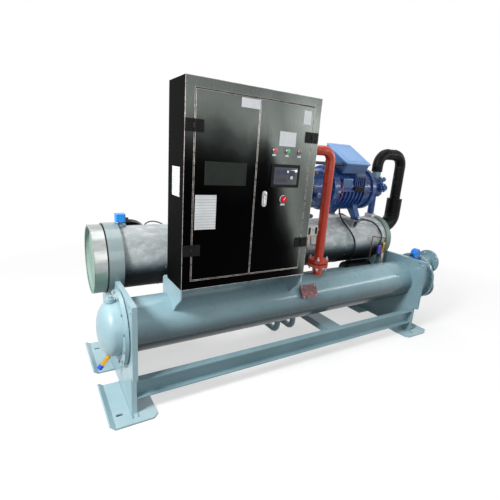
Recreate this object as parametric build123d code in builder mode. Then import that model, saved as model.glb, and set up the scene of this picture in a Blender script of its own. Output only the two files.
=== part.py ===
from build123d import *
import os
from math import cos, sin, radians

# Water-cooled screw chiller, millimetres.
# X runs along the unit from its dished end to its water connections, Y from the
# cabinet side to the back, Z up. The origin is on the floor under the middle of the unit.

# Overall layout
plate_span = 2760
plate_width = 1000
left_reach = 159
right_reach = 455
fit = 0.3

x_left = -(left_reach + plate_span + right_reach) / 2 + left_reach
x_right = x_left + plate_span
y_front = -plate_width / 2
y_back = plate_width / 2

# End plates
plate_thick = 32
plate_top = 748
plate_step_height = 268
plate_step_depth = 40
lifting_hole_r = 11
lifting_hole_inset = 26
lifting_hole_pitch = 34

# Feet
foot_thick = 12
foot_over_front = 40
foot_length = 457
foot_out = 112
foot_in = 150
lip_length = 34
lip_rise = 24
foot_corner = 32
slot_length = 44
slot_width = 20
slot_out = 68
slot_from_edge = 110

# Base beams, channel section
beam_height = 126
beam_depth = 53
beam_web = 6
beam_flange = 9
beam_bottom = 113
cross_beam_x = 1726
cross_width = 146
cross_depth = 58
cross_web = 8

# Condenser
condenser_from_front = 278
condenser_y = y_front + condenser_from_front
condenser_z = 506
condenser_r = 177.8
vessel_flange_r = 240
vessel_flange_thick = 30
head_skirt = 34
head_dome = 88
gasket_thick = 6
gasket_r = 232
head_boss_r = 27
head_boss_in = 6
head_boss_height = 26
head_plug_r = 18
head_plug_height = 16
box_r = 203.2
box_length = 200
cover_thick = 28
water_pipe_r = 69.85
water_bore_r = 64.5
water_flange_r = 125
water_flange_thick = 22
water_flange_pcd = 210
water_bolt_r = 9
water_bolt_count = 8
water_pipe_spread = 134

# Evaporator
evaporator_from_front = 690
evaporator_y = y_front + evaporator_from_front
evaporator_z = 848
jacket_r = 225
band_r = 252
band_outside = 34
band_inside = 62
cap_r = 240
cap_outside = 124
cap_disc_r = 222
cap_recess = 26
foam_r = 228
tail_r = 238
tail_thick = 66

# Compressor
compressor_y = evaporator_y
compressor_z = 1372
compressor_start = 1330
discharge_port = 120
joint_x = 1940
motor_length = 470
cover_length = 100
body_r = 178
motor_r = 186
joint_r = 208
cover_ring_r = 204
rib_r = 205
rib_thick = 12
rib_pitch = 48
rib_count = 7

# Cabinet
cabinet_x = 294
cabinet_width = 940
cabinet_depth = 260
cabinet_height = 1200
cabinet_bottom = 806
cabinet_front = y_front + 12
sheet = 2.5
frame_side = 56
frame_top = 54
frame_bottom = 54
frame_return = 24
door_gap = 5
door_thick = 20

# Hinges
hinge_height = 68
hinge_leaf = 45
leaf_thick = 5
pin_offset = 8
pin_r = 3
knuckle_r = 6
pin_clearance = 0.05
knuckle_gap = 1
hinge_low = 246
hinge_high = 953

# Pipes
discharge_r = 38
suction_r = 54
suction_bend = 120
discharge_bend = 76
liquid_r = 28
outlet_r = 24
liquid_bend = 60


def x_at(distance):
    # Distance along the unit from the outer face of the left end plate.
    return x_left + distance


def x_end(distance):
    # Distance back from the outer face of the right end plate.
    return x_right - distance


def ring_points(radius, count, start=0):
    return [(radius * cos(radians(start + 360 * k / count)),
             radius * sin(radians(start + 360 * k / count))) for k in range(count)]


parts = []


def keep(builder, label):
    builder.part.label = label
    parts.append(builder.part)


# End plates: common tube sheets that carry both vessels, with a cradle for the upper one
def end_plate(x_low, cradle_r):
    with BuildPart() as plate:
        with BuildSketch(Plane.YZ.offset(x_low)):
            with BuildLine():
                Polyline(
                    (y_front, plate_step_height), (y_front, plate_top),
                    (y_back, plate_top), (y_back, plate_step_height),
                    (y_back - plate_step_depth, plate_step_height),
                    (y_back - plate_step_depth, foot_thick),
                    (y_front + plate_step_depth, foot_thick),
                    (y_front + plate_step_depth, plate_step_height), close=True)
            make_face()
            with Locations((evaporator_y, evaporator_z)):
                Circle(cradle_r + fit, mode=Mode.SUBTRACT)
            with Locations((y_front + lifting_hole_inset, plate_top - lifting_hole_inset * 2),
                           (y_front + lifting_hole_inset + lifting_hole_pitch,
                            plate_top - lifting_hole_inset)):
                Circle(lifting_hole_r, mode=Mode.SUBTRACT)
        extrude(amount=plate_thick)
    return plate


left_end_plate = end_plate(x_left, band_r)
keep(left_end_plate, "left_end_plate")
right_end_plate = end_plate(x_right - plate_thick, tail_r)
keep(right_end_plate, "right_end_plate")


# Feet: floor plates under the ends of each end plate, outer edge bent up, one slot each
def foot(outer, side_x, side_y):
    # outer is the outer face of the end plate, side_x and side_y point outwards.
    edge = outer + side_x * foot_out
    inner = outer - side_x * foot_in
    rim = side_y * (plate_width / 2 + foot_over_front)
    back = rim - side_y * foot_length
    with BuildPart() as plate:
        with BuildSketch(Plane.XZ.offset(-rim)):
            with BuildLine():
                Polyline(
                    (inner, 0), (edge, 0), (edge + side_x * lip_length, lip_rise),
                    (edge + side_x * (lip_length - foot_thick * 0.6), lip_rise + foot_thick * 0.8),
                    (edge - side_x * foot_thick * 0.4, foot_thick), (inner, foot_thick), close=True)
            make_face()
        extrude(amount=side_y * foot_length)
        with BuildSketch(Plane.XY):
            with BuildLine():
                Polyline(
                    (inner, rim), (inner + side_x * foot_corner, rim),
                    (inner, rim - side_y * foot_corner), close=True)
            make_face()
            with BuildLine():
                Polyline(
                    (edge + side_x * lip_length, rim), (edge, rim),
                    (edge + side_x * lip_length, rim - side_y * foot_corner * 0.5), close=True)
            make_face()
            with Locations((outer + side_x * slot_out, rim - side_y * slot_from_edge)):
                SlotOverall(slot_length, slot_width)
        extrude(amount=lip_rise + foot_thick, mode=Mode.SUBTRACT)
    return plate


feet = {
    "left_front_foot": (x_left, -1, -1), "left_rear_foot": (x_left, -1, 1),
    "right_front_foot": (x_right, 1, -1), "right_rear_foot": (x_right, 1, 1),
}
for foot_name, foot_place in feet.items():
    keep(foot(*foot_place), foot_name)


# Long beams: channels between the end plates, open side outwards
def long_beam(side_y):
    face = side_y * (plate_width / 2 - plate_step_depth)
    with BuildPart() as beam:
        with BuildSketch(Plane.YZ.offset(x_left + plate_thick)):
            with Locations((face - side_y * beam_depth / 2, beam_bottom + beam_height / 2)):
                Rectangle(beam_depth, beam_height)
            with Locations((face - side_y * (beam_depth - beam_web) / 2,
                            beam_bottom + beam_height / 2)):
                Rectangle(beam_depth - beam_web, beam_height - 2 * beam_flange, mode=Mode.SUBTRACT)
        extrude(amount=plate_span - 2 * plate_thick)
    return beam


keep(long_beam(-1), "front_beam")
keep(long_beam(1), "rear_beam")

# Cross beam: channel laid flat between them, open side down
with BuildPart() as cross_beam:
    cross_inner = plate_width / 2 - plate_step_depth - beam_depth
    cross_top = beam_bottom + beam_height
    with BuildSketch(Plane.XZ.offset(cross_inner)):
        with Locations((x_at(cross_beam_x), cross_top - cross_depth / 2)):
            Rectangle(cross_width, cross_depth)
        with Locations((x_at(cross_beam_x), cross_top - cross_web - cross_depth / 2)):
            Rectangle(cross_width - 2 * cross_web, cross_depth, mode=Mode.SUBTRACT)
    extrude(amount=-2 * cross_inner)
keep(cross_beam, "cross_beam")

# Condenser shell
with BuildPart() as condenser_shell:
    with BuildSketch(Plane.YZ.offset(x_left + plate_thick)):
        with Locations((condenser_y, condenser_z)):
            Circle(condenser_r)
    extrude(amount=plate_span - 2 * plate_thick)
keep(condenser_shell, "condenser_shell")

# Dished return head on the left: gasket, bolted flange, short skirt, domed end, boss with a vent plug
with BuildPart() as condenser_head:
    with BuildSketch(Plane.XZ.offset(-condenser_y)):
        with BuildLine():
            skirt_x = x_left - vessel_flange_thick - head_skirt
            Polyline(
                (skirt_x, condenser_z + condenser_r),
                (x_left - vessel_flange_thick, condenser_z + condenser_r),
                (x_left - vessel_flange_thick, condenser_z + vessel_flange_r),
                (x_left - gasket_thick, condenser_z + vessel_flange_r),
                (x_left - gasket_thick, condenser_z + gasket_r),
                (x_left, condenser_z + gasket_r), (x_left, condenser_z),
                (skirt_x - head_dome, condenser_z))
            Bezier(
                (skirt_x, condenser_z + condenser_r),
                (skirt_x - head_dome * 0.5523, condenser_z + condenser_r),
                (skirt_x - head_dome, condenser_z + condenser_r * 0.5523),
                (skirt_x - head_dome, condenser_z))
        make_face()
    revolve(axis=Axis((x_left, condenser_y, condenser_z), (1, 0, 0)))
    boss_x = skirt_x - head_boss_in
    with BuildSketch(Plane.XY.offset(condenser_z + condenser_r * 0.8)):
        with Locations((boss_x, condenser_y)):
            Circle(head_boss_r)
    extrude(amount=condenser_r * 0.2 + head_boss_height)
    with BuildSketch(Plane.XY.offset(condenser_z + condenser_r + head_boss_height)):
        with Locations((boss_x, condenser_y)):
            RegularPolygon(head_plug_r, 6)
    extrude(amount=head_plug_height)
keep(condenser_head, "condenser_head")

# Water box on the right: bolted flange, drum, cover and two flanged pipes one above the other
water_pipes = [(condenser_y, condenser_z + water_pipe_spread),
               (condenser_y, condenser_z - water_pipe_spread)]
with BuildPart() as condenser_water_box:
    with BuildSketch(Plane.YZ.offset(x_right)):
        with Locations((condenser_y, condenser_z)):
            Circle(vessel_flange_r)
    extrude(amount=vessel_flange_thick)
    with BuildSketch(Plane.YZ.offset(x_right)):
        with Locations((condenser_y, condenser_z)):
            Circle(box_r)
    extrude(amount=box_length)
    with BuildSketch(Plane.YZ.offset(x_right + box_length)):
        with Locations((condenser_y, condenser_z)):
            Circle(vessel_flange_r)
    extrude(amount=cover_thick)
    with BuildSketch(Plane.YZ.offset(x_right + box_length)):
        with Locations(*water_pipes):
            Circle(water_pipe_r)
    extrude(amount=right_reach - box_length)
    with BuildSketch(Plane.YZ.offset(x_right + right_reach)):
        with Locations(*water_pipes):
            Circle(water_flange_r)
    extrude(amount=-water_flange_thick)
    with BuildSketch(Plane.YZ.offset(x_right + right_reach)):
        with Locations(*water_pipes):
            Circle(water_bore_r)
    extrude(amount=-(right_reach - box_length / 2), mode=Mode.SUBTRACT)
    with BuildSketch(Plane.YZ.offset(x_right + right_reach)):
        for pipe_centre in water_pipes:
            for dy, dz in ring_points(water_flange_pcd / 2, water_bolt_count, 22.5):
                with Locations((pipe_centre[0] + dy, pipe_centre[1] + dz)):
                    Circle(water_bolt_r)
    extrude(amount=-water_flange_thick, mode=Mode.SUBTRACT)
keep(condenser_water_box, "condenser_water_box")

# Flow switch on the water box: brass stem and a round blue housing
switch_from_plate = 115
switch_from_axis = 58
switch_stem_r = 11
switch_r = 50
switch_length = 58
switch_stem = 64
with BuildPart() as flow_switch:
    switch_x = x_right + switch_from_plate
    switch_y = condenser_y - switch_from_axis
    switch_z = condenser_z + box_r + switch_stem
    with BuildSketch(Plane.XY.offset(condenser_z)):
        with Locations((switch_x, switch_y)):
            Circle(switch_stem_r)
    extrude(amount=box_r + switch_stem)
    with BuildSketch(Plane.XZ.offset(-switch_y + switch_length / 2)):
        with Locations((switch_x, switch_z)):
            Circle(switch_r)
    extrude(amount=-switch_length)
    fillet(flow_switch.edges().filter_by(GeomType.CIRCLE).group_by(SortBy.RADIUS)[-1], 12)
    with BuildSketch(Plane.YZ.offset(x_right)):
        with Locations((condenser_y, condenser_z)):
            Circle(box_r + fit)
    extrude(amount=box_length, mode=Mode.SUBTRACT)
keep(flow_switch, "flow_switch")

# Drain valve low on the dished head, pointing out and down: stub, hexagon body and round cap
drain_angle = 40
drain_in = 38
drain_stub = 28
drain_body = 64
drain_stub_r = 10
drain_body_r = 17
drain_cap_r = 18
drain_length = ((left_reach - vessel_flange_thick - drain_in
                 - drain_cap_r * cos(radians(drain_angle))) / sin(radians(drain_angle)))
with BuildPart() as drain_valve:
    drain_root = (x_left - vessel_flange_thick - drain_in, condenser_y, condenser_z - condenser_r)
    drain_axis = Plane(origin=drain_root,
                       z_dir=(-sin(radians(drain_angle)), 0, -cos(radians(drain_angle))))
    with BuildSketch(drain_axis.offset(-4)):
        Circle(drain_stub_r)
    extrude(amount=drain_stub + 8)
    with BuildSketch(drain_axis.offset(drain_stub)):
        RegularPolygon(drain_body_r, 6)
    extrude(amount=drain_body)
    with BuildSketch(drain_axis.offset(drain_stub + drain_body)):
        Circle(drain_cap_r)
    extrude(amount=drain_length - drain_stub - drain_body)
    with BuildSketch(Plane.XZ.offset(-condenser_y)):
        with BuildLine():
            Polyline(
                (skirt_x, condenser_z), (x_left - gasket_thick, condenser_z),
                (x_left - gasket_thick, condenser_z - condenser_r - fit),
                (skirt_x, condenser_z - condenser_r - fit))
            Bezier(
                (skirt_x, condenser_z - condenser_r - fit),
                (skirt_x - head_dome * 0.5523, condenser_z - condenser_r - fit),
                (skirt_x - head_dome - fit, condenser_z - condenser_r * 0.5523),
                (skirt_x - head_dome - fit, condenser_z))
            Line((skirt_x - head_dome - fit, condenser_z), (skirt_x, condenser_z))
        make_face()
    revolve(axis=Axis((x_left, condenser_y, condenser_z), (1, 0, 0)), mode=Mode.SUBTRACT)
keep(drain_valve, "drain_valve")

# Saddle brackets that carry the cabinet on the condenser, one under each end
bracket_plate = 8
bracket_seat = 60
bracket_front = 8
bracket_back = 46
bracket_slope = 43
bracket_drop = 21
bracket_nose = 68
cabinet_back = cabinet_front + cabinet_depth


def cabinet_bracket(outer_x, side_x):
    # outer_x is the outer face of the upright plate, side_x points towards the other bracket.
    nose = cabinet_front + bracket_front
    tail = cabinet_back + bracket_back
    with BuildPart() as bracket:
        with BuildSketch(Plane.YZ.offset(outer_x)):
            with BuildLine():
                Polyline(
                    (nose, cabinet_bottom), (tail, cabinet_bottom),
                    (tail + bracket_slope, cabinet_bottom - bracket_drop),
                    (tail + bracket_slope, condenser_z + condenser_r * 0.55),
                    (condenser_y - condenser_r * 0.7, condenser_z + condenser_r * 0.55),
                    (condenser_y - condenser_r * 0.98, condenser_z + condenser_r * 0.9),
                    (nose, cabinet_bottom - bracket_nose), close=True)
            make_face()
            with Locations((condenser_y, condenser_z)):
                Circle(condenser_r + fit, mode=Mode.SUBTRACT)
        extrude(amount=side_x * bracket_plate)
        with BuildSketch(Plane.XY.offset(cabinet_bottom)):
            with Locations((outer_x + side_x * bracket_seat / 2, (nose + tail) / 2)):
                Rectangle(bracket_seat, tail - nose)
        extrude(amount=-bracket_plate)
    return bracket


keep(cabinet_bracket(x_at(cabinet_x), 1), "cabinet_left_bracket")
keep(cabinet_bracket(x_at(cabinet_x + cabinet_width), -1), "cabinet_right_bracket")

# Stand-off bracket with a bare plate on the front of the condenser
plate_mark_x = 1400
plate_mark_width = 160
plate_mark_height = 104
mark_stand = 22
mark_sheet = 4
mark_fold = 12
with BuildPart() as plate_bracket:
    mark_angle = 58
    mark_plane = Plane(
        origin=(x_at(plate_mark_x), condenser_y - condenser_r * sin(radians(mark_angle)),
                condenser_z + condenser_r * cos(radians(mark_angle))),
        x_dir=(1, 0, 0),
        z_dir=(0, -sin(radians(mark_angle)), cos(radians(mark_angle))))
    with BuildSketch(mark_plane.offset(fit)):
        Rectangle(plate_mark_width * 0.7, 24)
    extrude(amount=mark_stand)
    with BuildSketch(mark_plane.offset(mark_stand)):
        RectangleRounded(plate_mark_width, plate_mark_height, 6)
    extrude(amount=mark_sheet)
    with BuildSketch(mark_plane.offset(mark_stand + mark_sheet)):
        for edge in (-1, 1):
            with Locations((0, edge * (plate_mark_height - mark_sheet) / 2)):
                Rectangle(plate_mark_width - 12, mark_sheet)
    extrude(amount=-mark_fold)
keep(plate_bracket, "plate_bracket")

# Evaporator: clad shell, end bands, left cap with a sunk disc and right end flange
with BuildPart() as evaporator_shell:
    with BuildSketch(Plane.YZ.offset(x_left + band_inside)):
        with Locations((evaporator_y, evaporator_z)):
            Circle(jacket_r)
    extrude(amount=plate_span - 2 * band_inside)
keep(evaporator_shell, "evaporator_shell")

with BuildPart() as evaporator_band:
    with BuildSketch(Plane.YZ.offset(x_left - band_outside)):
        with Locations((evaporator_y, evaporator_z)):
            Circle(band_r)
    extrude(amount=band_outside + band_inside)
keep(evaporator_band, "evaporator_band")

with BuildPart() as evaporator_cap:
    with BuildSketch(Plane.XZ.offset(-evaporator_y)):
        with BuildLine():
            cap_x = x_left - cap_outside
            rim_x = x_left - band_outside
            Polyline(
                (cap_x + cap_recess, evaporator_z), (cap_x + cap_recess, evaporator_z + cap_disc_r),
                (cap_x, evaporator_z + cap_disc_r + 6), (cap_x, evaporator_z + cap_r),
                (rim_x - 8, evaporator_z + cap_r), (rim_x - 8, evaporator_z + foam_r),
                (rim_x, evaporator_z + foam_r), (rim_x, evaporator_z), close=True)
        make_face()
    revolve(axis=Axis((x_left, evaporator_y, evaporator_z), (1, 0, 0)))
keep(evaporator_cap, "evaporator_cap")

with BuildPart() as evaporator_tail:
    with BuildSketch(Plane.YZ.offset(x_right - band_inside)):
        with Locations((evaporator_y, evaporator_z)):
            Circle(tail_r)
    extrude(amount=tail_thick)
keep(evaporator_tail, "evaporator_tail")

# Water nozzles of the evaporator, wrapped in foam, on the back
nozzle_tilt = 16
nozzle_reach = 96
foam_pipe_r = 92
foam_flange_r = 138
nozzle_places = (x_at(210), x_end(260))
with BuildPart() as evaporator_nozzles:
    for nozzle_place in nozzle_places:
        nozzle_plane = Plane(
            origin=(nozzle_place, evaporator_y, evaporator_z), x_dir=(1, 0, 0),
            z_dir=(0, cos(radians(nozzle_tilt)), sin(radians(nozzle_tilt))))
        with BuildSketch(nozzle_plane.offset(jacket_r * 0.7)):
            Circle(foam_pipe_r)
        extrude(amount=jacket_r * 0.3 + nozzle_reach)
        with BuildSketch(nozzle_plane.offset(jacket_r + nozzle_reach - 46)):
            Circle(foam_flange_r)
        extrude(amount=46)
        with BuildSketch(nozzle_plane.offset(jacket_r + nozzle_reach)):
            Circle(water_bore_r)
        extrude(amount=-nozzle_reach, mode=Mode.SUBTRACT)
    with BuildSketch(Plane.YZ.offset(x_left + band_inside)):
        with Locations((evaporator_y, evaporator_z)):
            Circle(jacket_r + fit)
    extrude(amount=plate_span - 2 * band_inside, mode=Mode.SUBTRACT)
keep(evaporator_nozzles, "evaporator_nozzles")

# Square valve actuator on a brass neck, on a boss where the band meets the cladding
actuator_x = 86
actuator_boss_r = 40
actuator_boss = 16
actuator_neck_r = 13
actuator_neck = 18
actuator_size = 66
actuator_height = 56
with BuildPart() as vent_actuator:
    boss_top = evaporator_z + jacket_r + actuator_boss
    with BuildSketch(Plane.XY.offset(evaporator_z + jacket_r / 2)):
        with Locations((x_at(actuator_x), evaporator_y)):
            Circle(actuator_boss_r)
    extrude(amount=jacket_r / 2 + actuator_boss)
    with BuildSketch(Plane.XY.offset(boss_top)):
        with Locations((x_at(actuator_x), evaporator_y)):
            Circle(actuator_neck_r)
    extrude(amount=actuator_neck)
    with BuildSketch(Plane.XY.offset(boss_top + actuator_neck)):
        with Locations((x_at(actuator_x), evaporator_y)):
            RectangleRounded(actuator_size, actuator_size, 8)
    extrude(amount=actuator_height)
    with BuildSketch(Plane.YZ.offset(x_left + band_inside)):
        with Locations((evaporator_y, evaporator_z)):
            Circle(jacket_r + fit)
    extrude(amount=plate_span - 2 * band_inside, mode=Mode.SUBTRACT)
    with BuildSketch(Plane.YZ.offset(x_left - band_outside)):
        with Locations((evaporator_y, evaporator_z)):
            Circle(band_r + fit)
    extrude(amount=band_outside + band_inside + fit, mode=Mode.SUBTRACT)
keep(vent_actuator, "vent_actuator")

# Compressor body: discharge cover, flange pair, ribbed rotor casing with the slide cylinder
# under it, ports on its front and two splayed cast feet
compressor_end = joint_x + motor_length + cover_length
casing_start = x_at(compressor_start)
casing_end = x_at(joint_x)
cover_flange = 60
cover_flange_thick = 40
cover_flange_r = 194
slide_drop = 118
slide_r = 72
spine_width = 16
spine_height = 18
spine_angles = (35, 62, 118, 145)
port_flange = 132
port_neck_r = 58
port_rise = 26
side_ports = ((150, 34, 44), (268, 46, 30), (392, 30, 50))
foot_tall = 104
foot_wide = 58
foot_pad = 14
foot_z = 1090
casing_foot = 120
motor_foot = 316


def cast_feet(centre_x):
    # Two splayed legs in one outline, each ending in a flat pad.
    with BuildPart() as legs:
        for side in (-1, 1):
            with BuildSketch(Plane.YZ.offset(centre_x - foot_wide / 2)):
                with BuildLine():
                    Polyline(
                        (compressor_y + side * 40, compressor_z - 120),
                        (compressor_y + side * 128, compressor_z - 120),
                        (compressor_y + side * 206, foot_z + foot_pad),
                        (compressor_y + side * 240, foot_z + foot_pad),
                        (compressor_y + side * 240, foot_z),
                        (compressor_y + side * 140, foot_z),
                        (compressor_y + side * 140, foot_z + foot_pad),
                        (compressor_y + side * 62, foot_z + foot_tall), close=True)
                make_face()
            extrude(amount=foot_wide)
    return legs.part


with BuildPart() as compressor_body:
    with BuildSketch(Plane.XZ.offset(-compressor_y)):
        with BuildLine():
            Polyline(
                (casing_start, compressor_z),
                (casing_start, compressor_z + body_r * 0.74),
                (casing_start + 14, compressor_z + body_r * 0.82),
                (casing_start + cover_flange, compressor_z + body_r * 0.9),
                (casing_start + cover_flange, compressor_z + cover_flange_r),
                (casing_start + cover_flange + cover_flange_thick, compressor_z + cover_flange_r),
                (casing_start + cover_flange + cover_flange_thick, compressor_z + body_r * 0.88),
                (casing_end - 100, compressor_z + body_r * 0.94),
                (casing_end - 60, compressor_z + body_r),
                (casing_end - 36, compressor_z + body_r),
                (casing_end - 36, compressor_z + joint_r),
                (casing_end, compressor_z + joint_r),
                (casing_end, compressor_z), close=True)
        make_face()
    revolve(axis=Axis((x_left, compressor_y, compressor_z), (1, 0, 0)))
    with BuildSketch(Plane.YZ.offset(casing_start + cover_flange)):
        with Locations((compressor_y, compressor_z - slide_drop)):
            Circle(slide_r)
    extrude(amount=casing_end - casing_start - cover_flange - 18)
    for spine in spine_angles:
        with BuildSketch(Plane.YZ.offset(casing_start + cover_flange + cover_flange_thick)):
            with Locations(Location((compressor_y, compressor_z), spine)):
                with Locations((body_r * 0.86, 0)):
                    Rectangle(2 * spine_height, spine_width)
        extrude(amount=casing_end - casing_start - cover_flange - cover_flange_thick - 50)
    for along, port_r, drop in side_ports:
        with BuildSketch(Plane.XZ.offset(-(compressor_y - body_r * 0.7))):
            with Locations((casing_start + along, compressor_z - drop)):
                Circle(port_r)
        extrude(amount=body_r * 0.3 + 20)
    with BuildSketch(Plane.XY.offset(compressor_z)):
        with Locations((casing_start + discharge_port, compressor_y)):
            Circle(port_neck_r)
    extrude(amount=body_r + port_rise)
    with BuildSketch(Plane.XY.offset(compressor_z + body_r + port_rise)):
        with Locations((casing_start + discharge_port, compressor_y)):
            RectangleRounded(port_flange, port_flange, 16)
    extrude(amount=-24)
    add(cast_feet(casing_start + casing_foot))
keep(compressor_body, "compressor_body")

# Motor housing: ribs round the lower half, short ribs above a ledge, flat panels in front, feet
ledge_drop = 8
ledge_height = 12
short_rib_count = 6
short_rib_pitch = 26
panel_height = 92
with BuildPart() as motor_housing:
    with BuildSketch(Plane.YZ.offset(casing_end)):
        with Locations((compressor_y, compressor_z)):
            Circle(motor_r)
    extrude(amount=motor_length)
    with BuildSketch(Plane.YZ.offset(casing_end)):
        with Locations((compressor_y, compressor_z)):
            Circle(joint_r)
    extrude(amount=34)
    for index in range(rib_count):
        with BuildSketch(Plane.YZ.offset(casing_end + 66 + index * rib_pitch)):
            with Locations((compressor_y, compressor_z)):
                Circle(rib_r)
            with Locations((compressor_y, compressor_z + rib_r - ledge_drop)):
                Rectangle(2 * rib_r, 2 * rib_r, mode=Mode.SUBTRACT)
        extrude(amount=rib_thick)
    with BuildSketch(Plane.YZ.offset(casing_end + 34)):
        with Locations((compressor_y, compressor_z - ledge_drop)):
            Rectangle(2 * rib_r, ledge_height)
    extrude(amount=motor_length - 54)
    with BuildSketch(Plane.XZ.offset(-(compressor_y - motor_r * 0.8))):
        with Locations((casing_end + 120, compressor_z + 62)):
            RectangleRounded(130, panel_height, 14)
    extrude(amount=motor_r * 0.2 + 14)
    for index in range(short_rib_count):
        with BuildSketch(Plane.XZ.offset(-(compressor_y - motor_r * 0.8))):
            with Locations((casing_end + 232 + index * short_rib_pitch, compressor_z + 62)):
                Rectangle(rib_thick * 0.8, panel_height + 20)
        extrude(amount=motor_r * 0.2 + 6)
    add(cast_feet(casing_end + motor_foot))
keep(motor_housing, "motor_housing")

with BuildPart() as motor_cover:
    cover_x = x_at(joint_x + motor_length)
    with BuildSketch(Plane.XZ.offset(-compressor_y)):
        with BuildLine():
            Polyline(
                (cover_x, compressor_z), (cover_x, compressor_z + cover_ring_r),
                (cover_x + 44, compressor_z + cover_ring_r),
                (cover_x + 58, compressor_z + cover_ring_r * 0.86),
                (cover_x + 92, compressor_z + cover_ring_r * 0.62),
                (cover_x + cover_length, compressor_z + cover_ring_r * 0.4),
                (cover_x + cover_length, compressor_z), close=True)
        make_face()
    revolve(axis=Axis((x_left, compressor_y, compressor_z), (1, 0, 0)))
keep(motor_cover, "motor_cover")

# Suction stop valve on the end cover: inlet neck, body with a bonnet in front, flange facing up,
# a leg to the vessel and a bare stub of pipe above the flange
valve_out = 155
valve_x = compressor_end + valve_out
valve_top = 1486
valve_flange_r = 104
valve_flange_thick = 22
valve_body_r = 82
valve_low = 1296
valve_leg_r = 34
valve_leg_low = 1112
bonnet_r = 44
bonnet_out = 40
stub_r = 44
stub_top = 1547
with BuildPart() as suction_valve:
    with BuildSketch(Plane.XY.offset(valve_low)):
        with Locations((x_at(valve_x), compressor_y)):
            Circle(valve_body_r)
    extrude(amount=valve_top - valve_low)
    chamfer(suction_valve.edges().filter_by(GeomType.CIRCLE).sort_by(Axis.Z)[0], 26)
    with BuildSketch(Plane.XY.offset(valve_top)):
        with Locations((x_at(valve_x), compressor_y)):
            Circle(valve_flange_r)
    extrude(amount=-valve_flange_thick)
    with BuildSketch(Plane.YZ.offset(x_at(compressor_end))):
        with Locations((compressor_y, compressor_z)):
            Circle(64)
    extrude(amount=valve_out)
    with BuildSketch(Plane.YZ.offset(x_at(compressor_end))):
        with Locations((compressor_y, compressor_z)):
            RectangleRounded(146, 146, 18)
    extrude(amount=24)
    with BuildSketch(Plane.XZ.offset(-compressor_y)):
        with Locations((x_at(valve_x), compressor_z + 20)):
            Circle(bonnet_r)
    extrude(amount=valve_body_r + bonnet_out)
    with BuildSketch(Plane.XZ.offset(-(compressor_y - valve_body_r - bonnet_out))):
        with Locations((x_at(valve_x), compressor_z + 20)):
            RegularPolygon(bonnet_r * 0.6, 6)
    extrude(amount=24)
    with BuildSketch(Plane.XY.offset(valve_leg_low)):
        with Locations((x_at(valve_x), compressor_y)):
            Circle(valve_leg_r)
    extrude(amount=compressor_z - valve_leg_low)
keep(suction_valve, "suction_valve")

with BuildPart() as suction_stub:
    with BuildSketch(Plane.XY.offset(valve_top)):
        with Locations((x_at(valve_x), compressor_y)):
            Circle(stub_r)
    extrude(amount=stub_top - valve_top)
    with BuildSketch(Plane.XY.offset(valve_top)):
        with Locations((x_at(valve_x), compressor_y)):
            Circle(stub_r + 14)
    extrude(amount=14)
keep(suction_stub, "suction_stub")

# Terminal box: tilted block with its lid, on the front of the motor
terminal_x = 1988
terminal_width = 306
terminal_length = 350
terminal_height = 106
terminal_tilt = 30
terminal_back = 64
terminal_rise = 416
lid_thick = 16
entry_r = 16
entry_length = 14
cable_count = 4
cable_lane_first = y_front + 500
cable_lane_pitch = 35
cable_run_z = 1600
cable_lanes = [cable_lane_first + k * cable_lane_pitch for k in range(cable_count)]
terminal_plane = Plane(
    origin=(x_at(terminal_x), compressor_y + terminal_back, compressor_z + terminal_rise),
    x_dir=(1, 0, 0),
    z_dir=(0, -sin(radians(terminal_tilt)), cos(radians(terminal_tilt))))
with BuildPart() as terminal_box:
    with BuildSketch(terminal_plane.offset(-lid_thick)):
        with Locations((terminal_width / 2, -terminal_length / 2)):
            RectangleRounded(terminal_width - 12, terminal_length - 12, 10)
    extrude(amount=-(terminal_height - lid_thick))
    with BuildSketch(terminal_plane.offset(-terminal_height)):
        with Locations((terminal_width / 2, -terminal_length / 2)):
            RectangleRounded(terminal_width - 60, terminal_length - 110, 10)
    extrude(amount=-150)
    with BuildSketch(Plane.YZ.offset(x_at(terminal_x) + 6)):
        with Locations(*[(lane, cable_run_z) for lane in cable_lanes]):
            Circle(entry_r)
    extrude(amount=-entry_length)
    with BuildSketch(Plane.YZ.offset(x_at(joint_x))):
        with Locations((compressor_y, compressor_z)):
            Circle(joint_r + fit)
    extrude(amount=34, mode=Mode.SUBTRACT)
    with BuildSketch(Plane.YZ.offset(x_at(joint_x))):
        with Locations((compressor_y, compressor_z)):
            Circle(motor_r + fit)
    extrude(amount=motor_length, mode=Mode.SUBTRACT)
keep(terminal_box, "terminal_box")

with BuildPart() as terminal_lid:
    with BuildSketch(terminal_plane):
        with Locations((terminal_width / 2, -terminal_length / 2)):
            RectangleRounded(terminal_width, terminal_length, 12)
    extrude(amount=-lid_thick)
    chamfer(terminal_lid.faces().sort_by(Axis.Z)[-1].edges(), 4)
keep(terminal_lid, "terminal_lid")

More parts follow.
